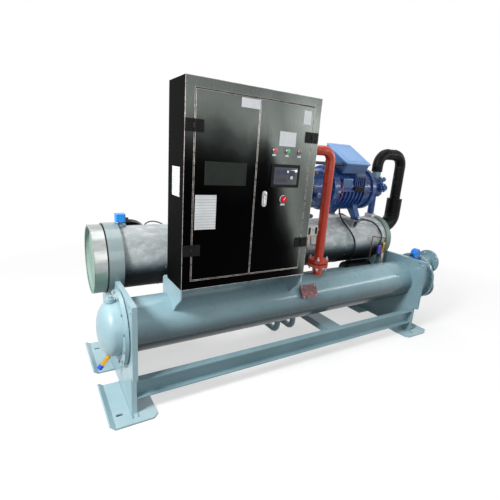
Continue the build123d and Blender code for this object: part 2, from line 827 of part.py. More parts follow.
# Compressor mounts: a cross plate on two webs under each pair of feet, a block under the valve leg
mount_places = (casing_start + casing_foot, casing_end + motor_foot)
mount_half = 280
mount_width = 100
mount_thick = 14
web_half = 196
web_thick = 10
web_gap = 56
with BuildPart() as compressor_mounts:
    for place in mount_places:
        with BuildSketch(Plane.XY.offset(foot_z)):
            with Locations((place, compressor_y)):
                Rectangle(mount_width, 2 * mount_half)
        extrude(amount=-mount_thick)
        for web_side in (-1, 1):
            with BuildSketch(Plane.YZ.offset(place + web_side * web_gap / 2 - web_thick / 2)):
                with BuildLine():
                    Polyline(
                        (compressor_y - web_half, foot_z - mount_thick / 2),
                        (compressor_y + web_half, foot_z - mount_thick / 2),
                        (compressor_y + web_half - 40, evaporator_z + jacket_r * 0.6),
                        (compressor_y - web_half + 40, evaporator_z + jacket_r * 0.6), close=True)
                make_face()
            extrude(amount=web_thick)
    with BuildSketch(Plane.XY.offset(valve_leg_low)):
        with Locations((x_at(valve_x), compressor_y)):
            Rectangle(62, 90)
    extrude(amount=-(valve_leg_low - evaporator_z - jacket_r * 0.9))
    with BuildSketch(Plane.YZ.offset(x_left + band_inside)):
        with Locations((evaporator_y, evaporator_z)):
            Circle(jacket_r + fit)
    extrude(amount=plate_span - 2 * band_inside, mode=Mode.SUBTRACT)
keep(compressor_mounts, "compressor_mounts")

# Hot gas pipe from the compressor over and down to the condenser
discharge_x = 1616
discharge_y = condenser_y
discharge_top = 1696
gas_flange_z = 782
gas_flange = 150
gas_flange_cut = 32
gas_flange_thick = 32
gas_flange_gap = 6
with BuildPart() as discharge_pipe:
    with BuildLine() as discharge_path:
        FilletPolyline(
            (x_at(discharge_x), discharge_y, gas_flange_z + gas_flange_thick),
            (x_at(discharge_x), discharge_y, discharge_top),
            (x_at(compressor_start) + discharge_port, discharge_y, discharge_top),
            (x_at(compressor_start) + discharge_port, compressor_y, discharge_top),
            (x_at(compressor_start) + discharge_port, compressor_y, compressor_z + body_r + 26),
            radius=discharge_bend)
    with BuildSketch(Plane(origin=(x_at(discharge_x), discharge_y, gas_flange_z + gas_flange_thick),
                           z_dir=(0, 0, 1))):
        Circle(discharge_r)
    sweep(path=discharge_path.line)
keep(discharge_pipe, "discharge_pipe")

with BuildPart() as discharge_flanges:
    with BuildSketch(Plane.XY.offset(condenser_z + condenser_r - 12)):
        with Locations((x_at(discharge_x), discharge_y)):
            Circle(discharge_r + 4)
    extrude(amount=gas_flange_z - condenser_z - condenser_r + 12)
    for level in (gas_flange_z - gas_flange_thick - gas_flange_gap / 2,
                  gas_flange_z + gas_flange_gap / 2):
        with BuildSketch(Plane.XY.offset(level)):
            with Locations((x_at(discharge_x), discharge_y)):
                Rectangle(gas_flange, gas_flange)
            chamfer(vertices(), gas_flange_cut)
        extrude(amount=gas_flange_thick - gas_flange_gap / 2)
    with BuildSketch(Plane.XY.offset(gas_flange_z - gas_flange_gap)):
        with Locations((x_at(discharge_x), discharge_y)):
            Circle(discharge_r + 12)
    extrude(amount=2 * gas_flange_gap)
    with BuildSketch(Plane.YZ.offset(x_left + plate_thick)):
        with Locations((condenser_y, condenser_z)):
            Circle(condenser_r)
    extrude(amount=plate_span - 2 * plate_thick, mode=Mode.SUBTRACT)
keep(discharge_flanges, "discharge_flanges")

# Insulated suction pipe from the evaporator end up, over and down to the stub; the foam is
# thicker on its lower part
suction_out = 265
suction_x = x_right + suction_out
suction_low = 975
suction_high = 1728
sleeve_r = 80
sleeve_top = 1268
with BuildPart() as suction_pipe:
    suction_start = (x_right - band_inside + tail_thick, evaporator_y, suction_low)
    with BuildLine() as suction_path:
        FilletPolyline(
            suction_start,
            (suction_x, evaporator_y, suction_low),
            (suction_x, evaporator_y, suction_high),
            (x_at(valve_x), evaporator_y, suction_high),
            (x_at(valve_x), evaporator_y, stub_top), radius=suction_bend)
    with BuildSketch(Plane(origin=suction_start, z_dir=(1, 0, 0))):
        Circle(suction_r)
    sweep(path=suction_path.line)
    with BuildLine() as sleeve_path:
        FilletPolyline(
            suction_start,
            (suction_x, evaporator_y, suction_low),
            (suction_x, evaporator_y, sleeve_top), radius=suction_bend)
    with BuildSketch(Plane(origin=suction_start, z_dir=(1, 0, 0))):
        Circle(sleeve_r)
    sweep(path=sleeve_path.line)
keep(suction_pipe, "suction_pipe")

# Sensor box on a clip at the left of the hot gas pipe
sensor_width = 116
sensor_height = 84
sensor_depth = 56
sensor_z = 1068
clip_reach = 33
clip_height = 26
clip_thick = 6
with BuildPart() as sensor_box:
    sensor_right = x_at(discharge_x) - discharge_r - fit - clip_reach
    with BuildSketch(Plane.XZ.offset(-(discharge_y - sensor_depth / 2))):
        with Locations((sensor_right - sensor_width / 2, sensor_z)):
            RectangleRounded(sensor_width, sensor_height, 8)
    extrude(amount=-sensor_depth)
    with BuildSketch(Plane.XZ.offset(-(discharge_y - clip_thick / 2))):
        with Locations((sensor_right + clip_reach / 2, sensor_z)):
            Rectangle(clip_reach, clip_height)
    extrude(amount=-clip_thick)
keep(sensor_box, "sensor_box")

# Filter drier in the liquid line, wrapped in foam, between the two vessels near the right end
drier_x = x_end(370)
drier_r = 80
drier_length = 330
drier_y = condenser_y + 267
drier_z = 570
with BuildPart() as filter_drier:
    with BuildSketch(Plane.YZ.offset(drier_x - drier_length / 2)):
        with Locations((drier_y, drier_z)):
            Circle(drier_r)
    extrude(amount=drier_length)
    fillet(filter_drier.edges().filter_by(GeomType.CIRCLE), 14)
keep(filter_drier, "filter_drier")

# Liquid line: two outlets under the condenser, a header, the riser to the drier
# and the pipe from the drier up into the evaporator
outlet_x = (1245, 1405)
header_z = 216
riser_x = 1560
feed_x = x_end(105)
with BuildPart() as liquid_line:
    for distance in outlet_x:
        with BuildLine() as outlet_path:
            FilletPolyline(
                (x_at(distance), condenser_y, condenser_z - condenser_r),
                (x_at(distance), condenser_y, header_z),
                (x_at(distance), drier_y, header_z), radius=liquid_bend)
        with BuildSketch(Plane(origin=(x_at(distance), condenser_y, condenser_z - condenser_r),
                               z_dir=(0, 0, -1))):
            Circle(outlet_r)
        sweep(path=outlet_path.line)
    with BuildLine() as riser_path:
        FilletPolyline(
            (x_at(outlet_x[0]) - liquid_r * 2, drier_y, header_z),
            (x_at(riser_x), drier_y, header_z), (x_at(riser_x), drier_y, drier_z),
            (drier_x - drier_length / 2, drier_y, drier_z), radius=liquid_bend)
    with BuildSketch(Plane(origin=(x_at(outlet_x[0]) - liquid_r * 2, drier_y, header_z),
                           z_dir=(1, 0, 0))):
        Circle(liquid_r)
    sweep(path=riser_path.line)
    with BuildLine() as feed_path:
        FilletPolyline(
            (drier_x + drier_length / 2, drier_y, drier_z),
            (feed_x, drier_y, drier_z), (feed_x, drier_y, evaporator_z),
            radius=liquid_bend)
    with BuildSketch(Plane(origin=(drier_x + drier_length / 2, drier_y, drier_z),
                           z_dir=(1, 0, 0))):
        Circle(liquid_r)
    sweep(path=feed_path.line)
    with BuildSketch(Plane.YZ.offset(x_left + band_inside)):
        with Locations((evaporator_y, evaporator_z)):
            Circle(jacket_r + fit)
        with Locations((condenser_y, condenser_z)):
            Circle(condenser_r + fit)
    extrude(amount=plate_span - 2 * band_inside, mode=Mode.SUBTRACT)
keep(liquid_line, "liquid_line")

# Service valve on a nipple from the condenser, with a coil beside it
service_x = x_end(120)
service_y = condenser_y + 160
nipple_r = 20
nipple_top = 744
service_hex_r = 27
service_hex = 52
service_stem_r = 17
service_stem = 56
coil_gap = 60
coil_r = 24
coil_z = 778
coil_height = 84
with BuildPart() as service_valve:
    with BuildSketch(Plane.XY.offset(condenser_z)):
        with Locations((service_x, service_y)):
            Circle(nipple_r)
    extrude(amount=nipple_top - condenser_z)
    with BuildSketch(Plane.XY.offset(nipple_top)):
        with Locations((service_x, service_y)):
            RegularPolygon(service_hex_r, 6)
    extrude(amount=service_hex)
    with BuildSketch(Plane.XY.offset(nipple_top + service_hex)):
        with Locations((service_x, service_y)):
            Circle(service_stem_r)
    extrude(amount=service_stem)
    with BuildSketch(Plane.YZ.offset(service_x)):
        with Locations((service_y, coil_z)):
            Circle(11)
    extrude(amount=-(coil_gap - coil_r))
    with BuildSketch(Plane.YZ.offset(x_left + plate_thick)):
        with Locations((condenser_y, condenser_z)):
            Circle(condenser_r + fit)
    extrude(amount=plate_span - 2 * plate_thick, mode=Mode.SUBTRACT)
keep(service_valve, "service_valve")

with BuildPart() as solenoid_coil:
    with BuildSketch(Plane.XY.offset(coil_z - coil_height / 2)):
        with Locations((service_x - coil_gap, service_y)):
            Circle(coil_r)
    extrude(amount=coil_height)
    chamfer(solenoid_coil.edges().filter_by(GeomType.CIRCLE), 6)
    with BuildSketch(Plane.YZ.offset(service_x)):
        with Locations((service_y, coil_z)):
            Circle(11 + fit)
    extrude(amount=-(coil_gap - coil_r + fit), mode=Mode.SUBTRACT)
keep(solenoid_coil, "solenoid_coil")

# Thin copper tube from the service valve round to the drier
tube_r = 5
tube_bend = 14
tube_y = service_y - 12
tube_high = 928
tube_low = x_end(320)
with BuildPart() as capillary:
    tube_start = (service_x, tube_y, nipple_top + service_hex + service_stem)
    with BuildLine() as tube_path:
        FilletPolyline(
            tube_start,
            (service_x, tube_y, tube_high - 30),
            (tube_low, tube_y, tube_high),
            (tube_low, tube_y, 690),
            (tube_low, drier_y - 50, drier_z + drier_r * 0.84), radius=tube_bend)
    with BuildSketch(Plane(origin=tube_start, z_dir=(0, 0, 1))):
        Circle(tube_r)
    sweep(path=tube_path.line)
    with BuildSketch(Plane.YZ.offset(drier_x - drier_length / 2)):
        with Locations((drier_y, drier_z)):
            Circle(drier_r + fit)
    extrude(amount=drier_length, mode=Mode.SUBTRACT)
keep(capillary, "capillary")

# Black control cables laid over the jacket: motor to coil, and motor to drier
cable_r = 8


def cable(points):
    with BuildPart() as run:
        with BuildLine() as path:
            Spline(*points)
        with BuildSketch(Plane(origin=path.line @ 0, z_dir=path.line % 0)):
            Circle(cable_r)
        sweep(path=path.line)
    return run.part


with BuildPart() as control_cables:
    add(cable([
        (casing_end + 390, compressor_y - 70, compressor_z - rib_r * 0.96),
        (casing_end + 420, compressor_y - 100, 1100),
        (x_end(230), evaporator_y - 150, 1050),
        (x_end(160), evaporator_y - 205, 975),
        (service_x - coil_gap + 26, service_y + 12, 905),
        (service_x - coil_gap, service_y, coil_z + coil_height / 2 + 34),
        (service_x - coil_gap, service_y, coil_z + coil_height / 2 + fit)]))
    add(cable([
        (casing_end + 170, compressor_y - 90, compressor_z - rib_r * 0.94),
        (casing_end + 190, compressor_y - 130, 1075),
        (casing_end + 250, evaporator_y - 226, 950),
        (casing_end + 290, evaporator_y - 241, 850),
        (casing_end + 300, evaporator_y - 226, 752),
        (casing_end + 330, drier_y, drier_z + drier_r)]))
    with BuildSketch(Plane.YZ.offset(drier_x - drier_length / 2)):
        with Locations((drier_y, drier_z)):
            Circle(drier_r + fit)
    extrude(amount=drier_length, mode=Mode.SUBTRACT)
    with BuildSketch(Plane.YZ.offset(casing_end)):
        with Locations((compressor_y, compressor_z)):
            Circle(rib_r + fit)
    extrude(amount=motor_length, mode=Mode.SUBTRACT)
    with BuildSketch(Plane.XY.offset(coil_z)):
        with Locations((service_x - coil_gap, service_y)):
            Circle(coil_r + fit)
    extrude(amount=coil_height / 2 + fit, mode=Mode.SUBTRACT)
keep(control_cables, "control_cables")

# Cabinet body: sheet box with a front frame and a floor, open at the front for the doors
box_left = x_at(cabinet_x)
box_right = box_left + cabinet_width
cabinet_top = cabinet_bottom + cabinet_height
open_left = box_left + frame_side
open_right = box_right - frame_side
open_bottom = cabinet_bottom + frame_bottom
open_top = cabinet_top - frame_top
with BuildPart() as cabinet_body:
    with BuildSketch(Plane.XY.offset(cabinet_bottom)):
        with Locations(((box_left + box_right) / 2, cabinet_front + cabinet_depth / 2)):
            Rectangle(cabinet_width, cabinet_depth)
    extrude(amount=cabinet_height)
    with BuildSketch(Plane.XY.offset(cabinet_bottom + sheet)):
        with Locations(((box_left + box_right) / 2, cabinet_front + cabinet_depth / 2)):
            Rectangle(cabinet_width - 2 * sheet, cabinet_depth - 2 * sheet)
    extrude(amount=cabinet_height - 2 * sheet, mode=Mode.SUBTRACT)
    with BuildSketch(Plane.XZ.offset(-cabinet_front)):
        with Locations(((open_left + open_right) / 2, (open_bottom + open_top) / 2)):
            Rectangle(open_right - open_left + 2 * sheet, open_top - open_bottom + 2 * sheet)
    extrude(amount=-frame_return)
    with BuildSketch(Plane.XZ.offset(-cabinet_front)):
        with Locations(((open_left + open_right) / 2, (open_bottom + open_top) / 2)):
            Rectangle(open_right - open_left, open_top - open_bottom)
    extrude(amount=-frame_return, mode=Mode.SUBTRACT)
keep(cabinet_body, "cabinet_body")

# Mounting plate inside the cabinet
panel_thick = 3
panel_margin = 45
panel_stand = 14
with BuildPart() as mounting_plate:
    with BuildSketch(Plane.XZ.offset(-(cabinet_back - sheet - panel_stand))):
        with Locations(((box_left + box_right) / 2, (cabinet_bottom + cabinet_top) / 2)):
            Rectangle(cabinet_width - 2 * panel_margin, cabinet_height - 2 * panel_margin)
    extrude(amount=panel_thick)
    with BuildSketch(Plane.XZ.offset(-(cabinet_back - sheet))):
        with Locations(((box_left + box_right) / 2, (cabinet_bottom + cabinet_top) / 2)):
            with GridLocations(cabinet_width - 2 * panel_margin - 60,
                               cabinet_height - 2 * panel_margin - 60, 2, 2):
                Circle(8)
    extrude(amount=panel_stand)
keep(mounting_plate, "mounting_plate")

# Doors: folded trays set in the front frame, hinged on the outer edges
door_width = (open_right - open_left - 3 * door_gap) / 2
door_height = open_top - open_bottom - 2 * door_gap
door_rim = 2.5


def door(low_x):
    with BuildPart() as panel:
        with BuildSketch(Plane.XZ.offset(-cabinet_front)):
            with Locations((low_x + door_width / 2, open_bottom + door_gap + door_height / 2)):
                Rectangle(door_width, door_height)
        extrude(amount=-door_thick)
        with BuildSketch(Plane.XZ.offset(-(cabinet_front + door_rim))):
            with Locations((low_x + door_width / 2, open_bottom + door_gap + door_height / 2)):
                Rectangle(door_width - 2 * door_rim, door_height - 2 * door_rim)
        extrude(amount=-door_thick, mode=Mode.SUBTRACT)
    return panel


left_door_x = open_left + door_gap
right_door_x = left_door_x + door_width + door_gap
keep(door(left_door_x), "left_door")
keep(door(right_door_x), "right_door")

# Hinges: black surface hinges, the pin on the frame side and the middle knuckle on the door
pin_y = cabinet_front - pin_offset
left_pin_x = open_left + door_gap / 2
right_pin_x = open_right - door_gap / 2
hinge_levels = [cabinet_bottom + hinge_low, cabinet_bottom + hinge_high]
knuckle_third = hinge_height / 3


def knuckle(pin_x, side, low):
    with BuildSketch(Plane.XY.offset(low)) as web:
        with Locations((pin_x, pin_y)):
            Circle(knuckle_r)
        with Locations((pin_x + side * (knuckle_r + 4) / 2, cabinet_front - leaf_thick / 2)):
            Rectangle(knuckle_r + 4, leaf_thick)
    return web.sketch


def leaf_plate(pin_x, side, level):
    with BuildSketch(Plane.XZ.offset(-cabinet_front)) as leaf:
        with Locations((pin_x + side * (pin_offset + hinge_leaf / 2), level)):
            RectangleRounded(hinge_leaf, hinge_height, 4)
    return leaf.sketch


with BuildPart() as hinge_frames:
    for pin_x, side in ((left_pin_x, -1), (right_pin_x, 1)):
        for level in hinge_levels:
            extrude(leaf_plate(pin_x, side, level), amount=leaf_thick)
            for low in (-hinge_height / 2, hinge_height / 2 - knuckle_third):
                extrude(knuckle(pin_x, side, level + low), amount=knuckle_third)
            with BuildSketch(Plane.XY.offset(level - hinge_height / 2)):
                with Locations((pin_x, pin_y)):
                    Circle(pin_r)
            extrude(amount=hinge_height)
keep(hinge_frames, "hinge_frames")


def door_leaves(pin_x, side):
    with BuildPart() as leaves:
        for level in hinge_levels:
            extrude(leaf_plate(pin_x, side, level), amount=leaf_thick)
            low = -knuckle_third / 2 + knuckle_gap
            height = knuckle_third - 2 * knuckle_gap
            extrude(knuckle(pin_x, side, level + low), amount=height)
            with BuildSketch(Plane.XY.offset(level + low)):
                with Locations((pin_x, pin_y)):
                    Circle(pin_r + pin_clearance)
            extrude(amount=height, mode=Mode.SUBTRACT)
    return leaves


keep(door_leaves(left_pin_x, 1), "left_door_leaves")
keep(door_leaves(right_pin_x, -1), "right_door_leaves")

# Door equipment, all on the right door: screen, lamps, rotary switch and flush lock
equipment_x = box_right - 246
screen_drop = 499
screen_size = (222, 146)
screen_rim = 16
screen_thick = 10
lamp_drop = 345
lamp_pitch = 99
lamp_ring_r = 17
lamp_r = 13
switch_drop = 650
lock_drop = 646
lock_x = box_right - 398
with BuildPart() as touch_screen:
    with BuildSketch(Plane.XZ.offset(-cabinet_front)):
        with Locations((equipment_x, cabinet_top - screen_drop)):
            RectangleRounded(screen_size[0], screen_size[1], 6)
    extrude(amount=screen_thick)
    with BuildSketch(Plane.XZ.offset(-(cabinet_front - screen_thick))):
        with Locations((equipment_x, cabinet_top - screen_drop)):
            Rectangle(screen_size[0] - 2 * screen_rim, screen_size[1] - 2 * screen_rim)
    extrude(amount=-3, mode=Mode.SUBTRACT)
    chamfer(touch_screen.faces().sort_by(Axis.Y)[0].outer_wire().edges(), 2)
keep(touch_screen, "touch_screen")

with BuildPart() as door_lamps:
    for step in (-1, 0, 1):
        with BuildSketch(Plane.XZ.offset(-cabinet_front)):
            with Locations((equipment_x + step * lamp_pitch, cabinet_top - lamp_drop)):
                Circle(lamp_ring_r)
        extrude(amount=5)
        with BuildSketch(Plane.XZ.offset(-(cabinet_front - 5))):
            with Locations((equipment_x + step * lamp_pitch, cabinet_top - lamp_drop)):
                Circle(lamp_r)
        extrude(amount=8)
    fillet(door_lamps.edges().filter_by(GeomType.CIRCLE).group_by(Axis.Y)[0], 4)
keep(door_lamps, "door_lamps")

with BuildPart() as door_switch:
    with BuildSketch(Plane.XZ.offset(-cabinet_front)):
        with Locations((equipment_x, cabinet_top - switch_drop)):
            Circle(24)
    extrude(amount=8)
    with BuildSketch(Plane.XZ.offset(-(cabinet_front - 8))):
        with Locations((equipment_x, cabinet_top - switch_drop)):
            Circle(20)
    extrude(amount=8)
    with BuildSketch(Plane.XZ.offset(-(cabinet_front - 16))):
        with Locations((equipment_x, cabinet_top - switch_drop)):
            SlotOverall(46, 13, rotation=50)
    extrude(amount=12)
keep(door_switch, "door_switch")

with BuildPart() as door_lock:
    with BuildSketch(Plane.XZ.offset(-cabinet_front)):
        with Locations((lock_x, cabinet_top - lock_drop)):
            SlotOverall(100, 34, rotation=90)
    extrude(amount=9)
    with BuildSketch(Plane.XZ.offset(-(cabinet_front - 9))):
        with Locations((lock_x, cabinet_top - lock_drop - 6)):
            SlotOverall(70, 18, rotation=90)
    extrude(amount=-5, mode=Mode.SUBTRACT)
    with BuildSketch(Plane.XZ.offset(-(cabinet_front - 9))):
        with Locations((lock_x, cabinet_top - lock_drop + 36)):
            Circle(8)
    extrude(amount=5)
keep(door_lock, "door_lock")

# Cable glands down the cabinet's right side
gland_low = 419
gland_pitch = 103
gland_y = cabinet_front + 42
gland_nut = 16
gland_neck = 18
gland_r = 17
gland_levels = [cabinet_bottom + gland_low + k * gland_pitch for k in range(cable_count)]
with BuildPart() as cable_glands:
    for level in gland_levels:
        with BuildSketch(Plane.YZ.offset(box_right)):
            with Locations((gland_y, level)):
                RegularPolygon(23, 6)
        extrude(amount=gland_nut)
        with BuildSketch(Plane.YZ.offset(box_right + gland_nut)):
            with Locations((gland_y, level)):
                Circle(gland_r)
        extrude(amount=gland_neck)
keep(cable_glands, "cable_glands")

# Motor cables from the glands back past the compressor's end and along to the terminal box
power_r = 13
power_bend = 36
power_out = 38
with BuildPart() as motor_cables:
    for level, lane in zip(gland_levels, reversed(cable_lanes)):
        cable_start = (box_right + gland_nut + gland_neck, gland_y, level)
        turn_x = box_right + gland_nut + gland_neck + power_out
        with BuildLine() as power_path:
            FilletPolyline(
                cable_start, (turn_x, gland_y, level), (turn_x, lane, level),
                (turn_x, lane, cable_run_z),
                (x_at(terminal_x) + 6 - entry_length, lane, cable_run_z), radius=power_bend)
        with BuildSketch(Plane(origin=cable_start, z_dir=(1, 0, 0))):
            Circle(power_r)
        sweep(path=power_path.line)
keep(motor_cables, "motor_cables")

os.makedirs("parts", exist_ok=True)
for piece in parts:
    export_step(piece, "parts/" + piece.label + ".step")
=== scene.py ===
import math

import bpy
from mathutils import Matrix, Vector


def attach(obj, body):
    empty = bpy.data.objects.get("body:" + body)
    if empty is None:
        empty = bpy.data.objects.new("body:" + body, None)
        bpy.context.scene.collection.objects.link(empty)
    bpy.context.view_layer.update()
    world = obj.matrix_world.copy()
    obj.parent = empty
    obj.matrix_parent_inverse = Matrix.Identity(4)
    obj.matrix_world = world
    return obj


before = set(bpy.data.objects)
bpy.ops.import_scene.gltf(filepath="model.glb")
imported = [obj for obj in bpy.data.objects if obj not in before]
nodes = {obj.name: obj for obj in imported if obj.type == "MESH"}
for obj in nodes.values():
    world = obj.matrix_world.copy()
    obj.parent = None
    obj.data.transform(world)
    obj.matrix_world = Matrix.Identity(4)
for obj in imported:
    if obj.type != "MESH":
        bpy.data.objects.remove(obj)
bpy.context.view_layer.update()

toRight, toLeft = (1, 0, 0), (-1, 0, 0)
toBack, toFront = (0, 1, 0), (0, -1, 0)
toTop, toFloor = (0, 0, 1), (0, 0, -1)
maskEdge = 0.0004


class Sizes:
    # named measures in metres and degrees
    def __init__(self, **values):
        self.__dict__.update(values)


# Materials
class Look:
    # a node tree in the making; what its methods take is a number, a colour or a socket
    sockets = {"colour": "Base Color", "rough": "Roughness", "metal": "Metallic", "coat": "Coat Weight",
        "coatRough": "Coat Roughness", "specular": "Specular IOR Level"}

    def __init__(self, owner):
        owner.use_nodes = True
        self.owner = owner
        self.tree = owner.node_tree
        self.shader = self.tree.nodes.get("Principled BSDF")
        self.place = self.add("TexCoord").outputs["Object"] if self.shader else None
        self.relief = None

    def connect(self, value, socket):
        if isinstance(value, (int, float, tuple)):
            isColour = isinstance(value, tuple) and socket.type == "RGBA"
            socket.default_value = (*value, 1) if isColour else value
        else:
            self.tree.links.new(value, socket)

    def add(self, kind, *ordered, **named):
        # a new node, its inputs given in their order or by name
        node = self.tree.nodes.new("ShaderNode" + kind)
        for value, socket in zip(ordered, node.inputs):
            self.connect(value, socket)
        for name, value in named.items():
            self.connect(value, node.inputs[name])
        return node

    def noise(self, scale, detail=4, stretch=None, roughness=0.5):
        vector = self.place
        if stretch:
            vector = self.add("Mapping", vector, Scale=stretch).outputs["Vector"]
        return self.add("TexNoise", vector, Scale=scale, Detail=detail, Roughness=roughness).outputs["Fac"]

    def ramp(self, factor, *stops):
        ramp = self.add("ValToRGB", factor)
        elements = ramp.color_ramp.elements
        while len(elements) < len(stops):
            elements.new(0.5)
        for element, (place, colour) in zip(elements, stops):
            element.position = place
            element.color = (*colour, 1) if isinstance(colour, tuple) else (colour, colour, colour, 1)
        return ramp.outputs["Color"]

    def mix(self, factor, first, second, blend="MIX"):
        mix = self.add("Mix", factor)
        mix.data_type = "RGBA"
        mix.blend_type = blend
        for name, value in (("A", first), ("B", second)):
            self.connect(value, [s for s in mix.inputs if s.name == name and s.type == "RGBA"][0])
        return [s for s in mix.outputs if s.type == "RGBA"][0]

    def darken(self, colour, by):
        return self.mix(1.0, colour, by, "MULTIPLY")

    def math(self, operation, *values):
        node = self.add("Math", *values)
        node.operation = operation
        return node.outputs[0]

    def vector(self, operation, *values):
        node = self.add("VectorMath", *values)
        node.operation = operation
        return node.outputs

    def span(self, value, low, high, least=0.0, most=1.0):
        return self.add("MapRange", value, low, high, least, most).outputs["Result"]

    def split(self, vector):
        return tuple(self.add("SeparateXYZ", vector).outputs)

    def beyond(self, way, distance):
        # 1 where a point lies further than distance along way
        return self.span(self.vector("DOT_PRODUCT", self.place, way)["Value"], distance, distance + maskEdge)

    def outside(self, centre, radius):
        # 1 outside a round bar along X
        offset = self.vector("SUBTRACT", self.place, centre)["Vector"]
        flat = self.vector("MULTIPLY", offset, (0, 1, 1))["Vector"]
        return self.span(self.vector("LENGTH", flat)["Value"], radius, radius + maskEdge)

    def within(self, centre, half):
        # 1 inside a box of those half sizes
        offset = self.vector("SUBTRACT", self.place, centre)["Vector"]
        sides = zip(self.split(self.vector("ABSOLUTE", offset)["Vector"]), half)
        x, y, z = [self.span(value, size, size + maskEdge, 1, 0) for value, size in sides]
        return self.math("MINIMUM", x, self.math("MINIMUM", y, z))

    def bump(self, height, strength, distance):
        # each relief lies over those made before it
        over = {"Normal": self.relief} if self.relief else {}
        bump = self.add("Bump", Strength=strength, Distance=distance, Height=height, **over)
        self.relief = bump.outputs["Normal"]
        self.connect(self.relief, self.shader.inputs["Normal"])

    def mixShaders(self, factor, first, second):
        return self.add("MixShader", factor, first, second).outputs["Shader"]

    def seenDirectly(self):
        # 1 for what the camera, a mirror or glass sees
        rays = self.add("LightPath").outputs
        mirrored = self.math("MAXIMUM", rays["Is Glossy Ray"], rays["Is Transmission Ray"])
        return self.math("MAXIMUM", rays["Is Camera Ray"], mirrored)

    def finish(self, **values):
        for name, value in values.items():
            self.connect(value, self.shader.inputs[self.sockets[name]])
        return self.owner


def newLook(name):
    return Look(bpy.data.materials.new(name))


def paint(name, colour, dark, light, rough=0.4, coat=0.0, bump=0.12, dust=0.25, wear=None,
        specular=0.4, under=None):
    # sprayed paint: slow colour drift, dust on what faces up, fine orange peel, and where asked painted
    # shade below
    look = newLook(name)
    base = look.ramp(look.noise(2.2, 5), (0.3, dark), (0.52, colour), (0.75, light))
    grime = look.noise(14, 8, roughness=0.7)
    if wear:  # rubbed patches and runs, finer than the drift
        rub = look.noise(38, 6, roughness=0.75)
        base = look.mix(look.ramp(rub, (0.5, 0.0), (0.74, 0.8)), base, wear)
    upward = look.span(look.split(look.add("NewGeometry").outputs["Normal"])[2], 0.4, 1.0, 0.0, dust)
    amount = look.math("MULTIPLY", upward, look.ramp(grime, (0.35, 0.0), (0.72, 1.0)))
    base = look.mix(amount, base, tuple(min(1, 0.5 * c + 0.3) for c in light))
    if under:  # painted shade: darker towards the underside
        low = look.span(look.split(look.place)[2], *under)
        base = look.darken(base, look.ramp(low, (0.0, 0.1), (0.4, 0.34), (0.7, 0.8), (1.0, 1.0)))
    look.bump(look.noise(160, 3), bump, 0.001)
    return look.finish(colour=base, rough=look.ramp(grime, (0.3, rough - 0.08), (0.8, rough + 0.14)),
        coat=coat, coatRough=0.12, specular=specular)


def cabinetSteel(name, cabinet):
    # dark sheet with painted reflection: its front pales towards the top right, with a painted darker band
    # across the middle of the doors, and its left side is a painted near black reflection
    look = newLook(name)
    x, y, z = look.split(look.place)
    rise = look.span(z, cabinet.bottom, cabinet.top)
    across = look.span(x, cabinet.left, cabinet.right)
    bend = look.math("MULTIPLY", look.math("POWER", across, 3.0), 0.85)
    clouds = look.span(look.noise(3.1, 3), 0.3, 0.7, -0.05, 0.05)
    total = look.math("ADD", look.math("ADD", rise, bend), clouds)
    # painted reflection: a darker band across the middle of the doors
    fromReflectionDip = look.math("ABSOLUTE", look.math("SUBTRACT", x, cabinet.dimAt))
    total = look.math("SUBTRACT", total, look.span(fromReflectionDip, 0.0, cabinet.dimHalf, 0.13, 0.0))
    # painted reflection: the front's tones from dark to pale
    reflectionTones = ((0.25, 0.0012), (0.31, 0.0035), (0.34, 0.011), (0.36, 0.02), (0.39, 0.05),
        (0.42, 0.12), (0.455, 0.155), (0.5, 0.135), (0.56, 0.11), (0.62, 0.125),
        (0.75, 0.15), (0.88, 0.11))
    greenishReflection = [(stop, (0.93 * tone, 1.04 * tone, 0.97 * tone)) for stop, tone in reflectionTones]
    front = look.ramp(look.math("MULTIPLY", total, 0.5), *greenishReflection)
    grain = look.noise(7, 6, stretch=(60, 60, 1.5), roughness=0.65)
    front = look.darken(front, look.ramp(grain, (0.3, 0.86), (0.7, 1.0)))
    plain = look.ramp(clouds, (0.0, (0.1, 0.11, 0.105)), (1.0, (0.17, 0.18, 0.175)))
    base = look.mix(look.beyond(toFront, cabinet.frontFrom), plain, front)
    # painted dark reflection: the left side near black
    darkReflectedLeft = look.beyond(toLeft, cabinet.leftFrom)
    sheen = look.ramp(grain, (0.25, 0.24), (0.8, 0.36))
    look.bump(look.noise(5, 2), 0.12, 0.004)
    return look.finish(colour=look.mix(darkReflectedLeft, base, (0.001, 0.001, 0.001)),
        rough=look.mix(darkReflectedLeft, sheen, (0.62, 0.62, 0.62)),
        metal=look.span(darkReflectedLeft, 0, 1, 0.94, 0.0), specular=0.03)


def brushed(name, light, dark, rough, along):
    # brushed sheet: fine streaks that change colour, gloss and relief together
    look = newLook(name)
    streaks = look.noise(9, 6, stretch=along, roughness=0.65)
    cloudy = look.ramp(look.noise(1.6, 3), (0.3, 0.72), (0.7, 1.0))
    look.bump(streaks, 0.08, 0.0004)
    return look.finish(colour=look.darken(look.ramp(streaks, (0.3, dark), (0.7, light)), cloudy),
        rough=look.ramp(streaks, (0.25, rough - 0.07), (0.8, rough + 0.12)), metal=1.0)


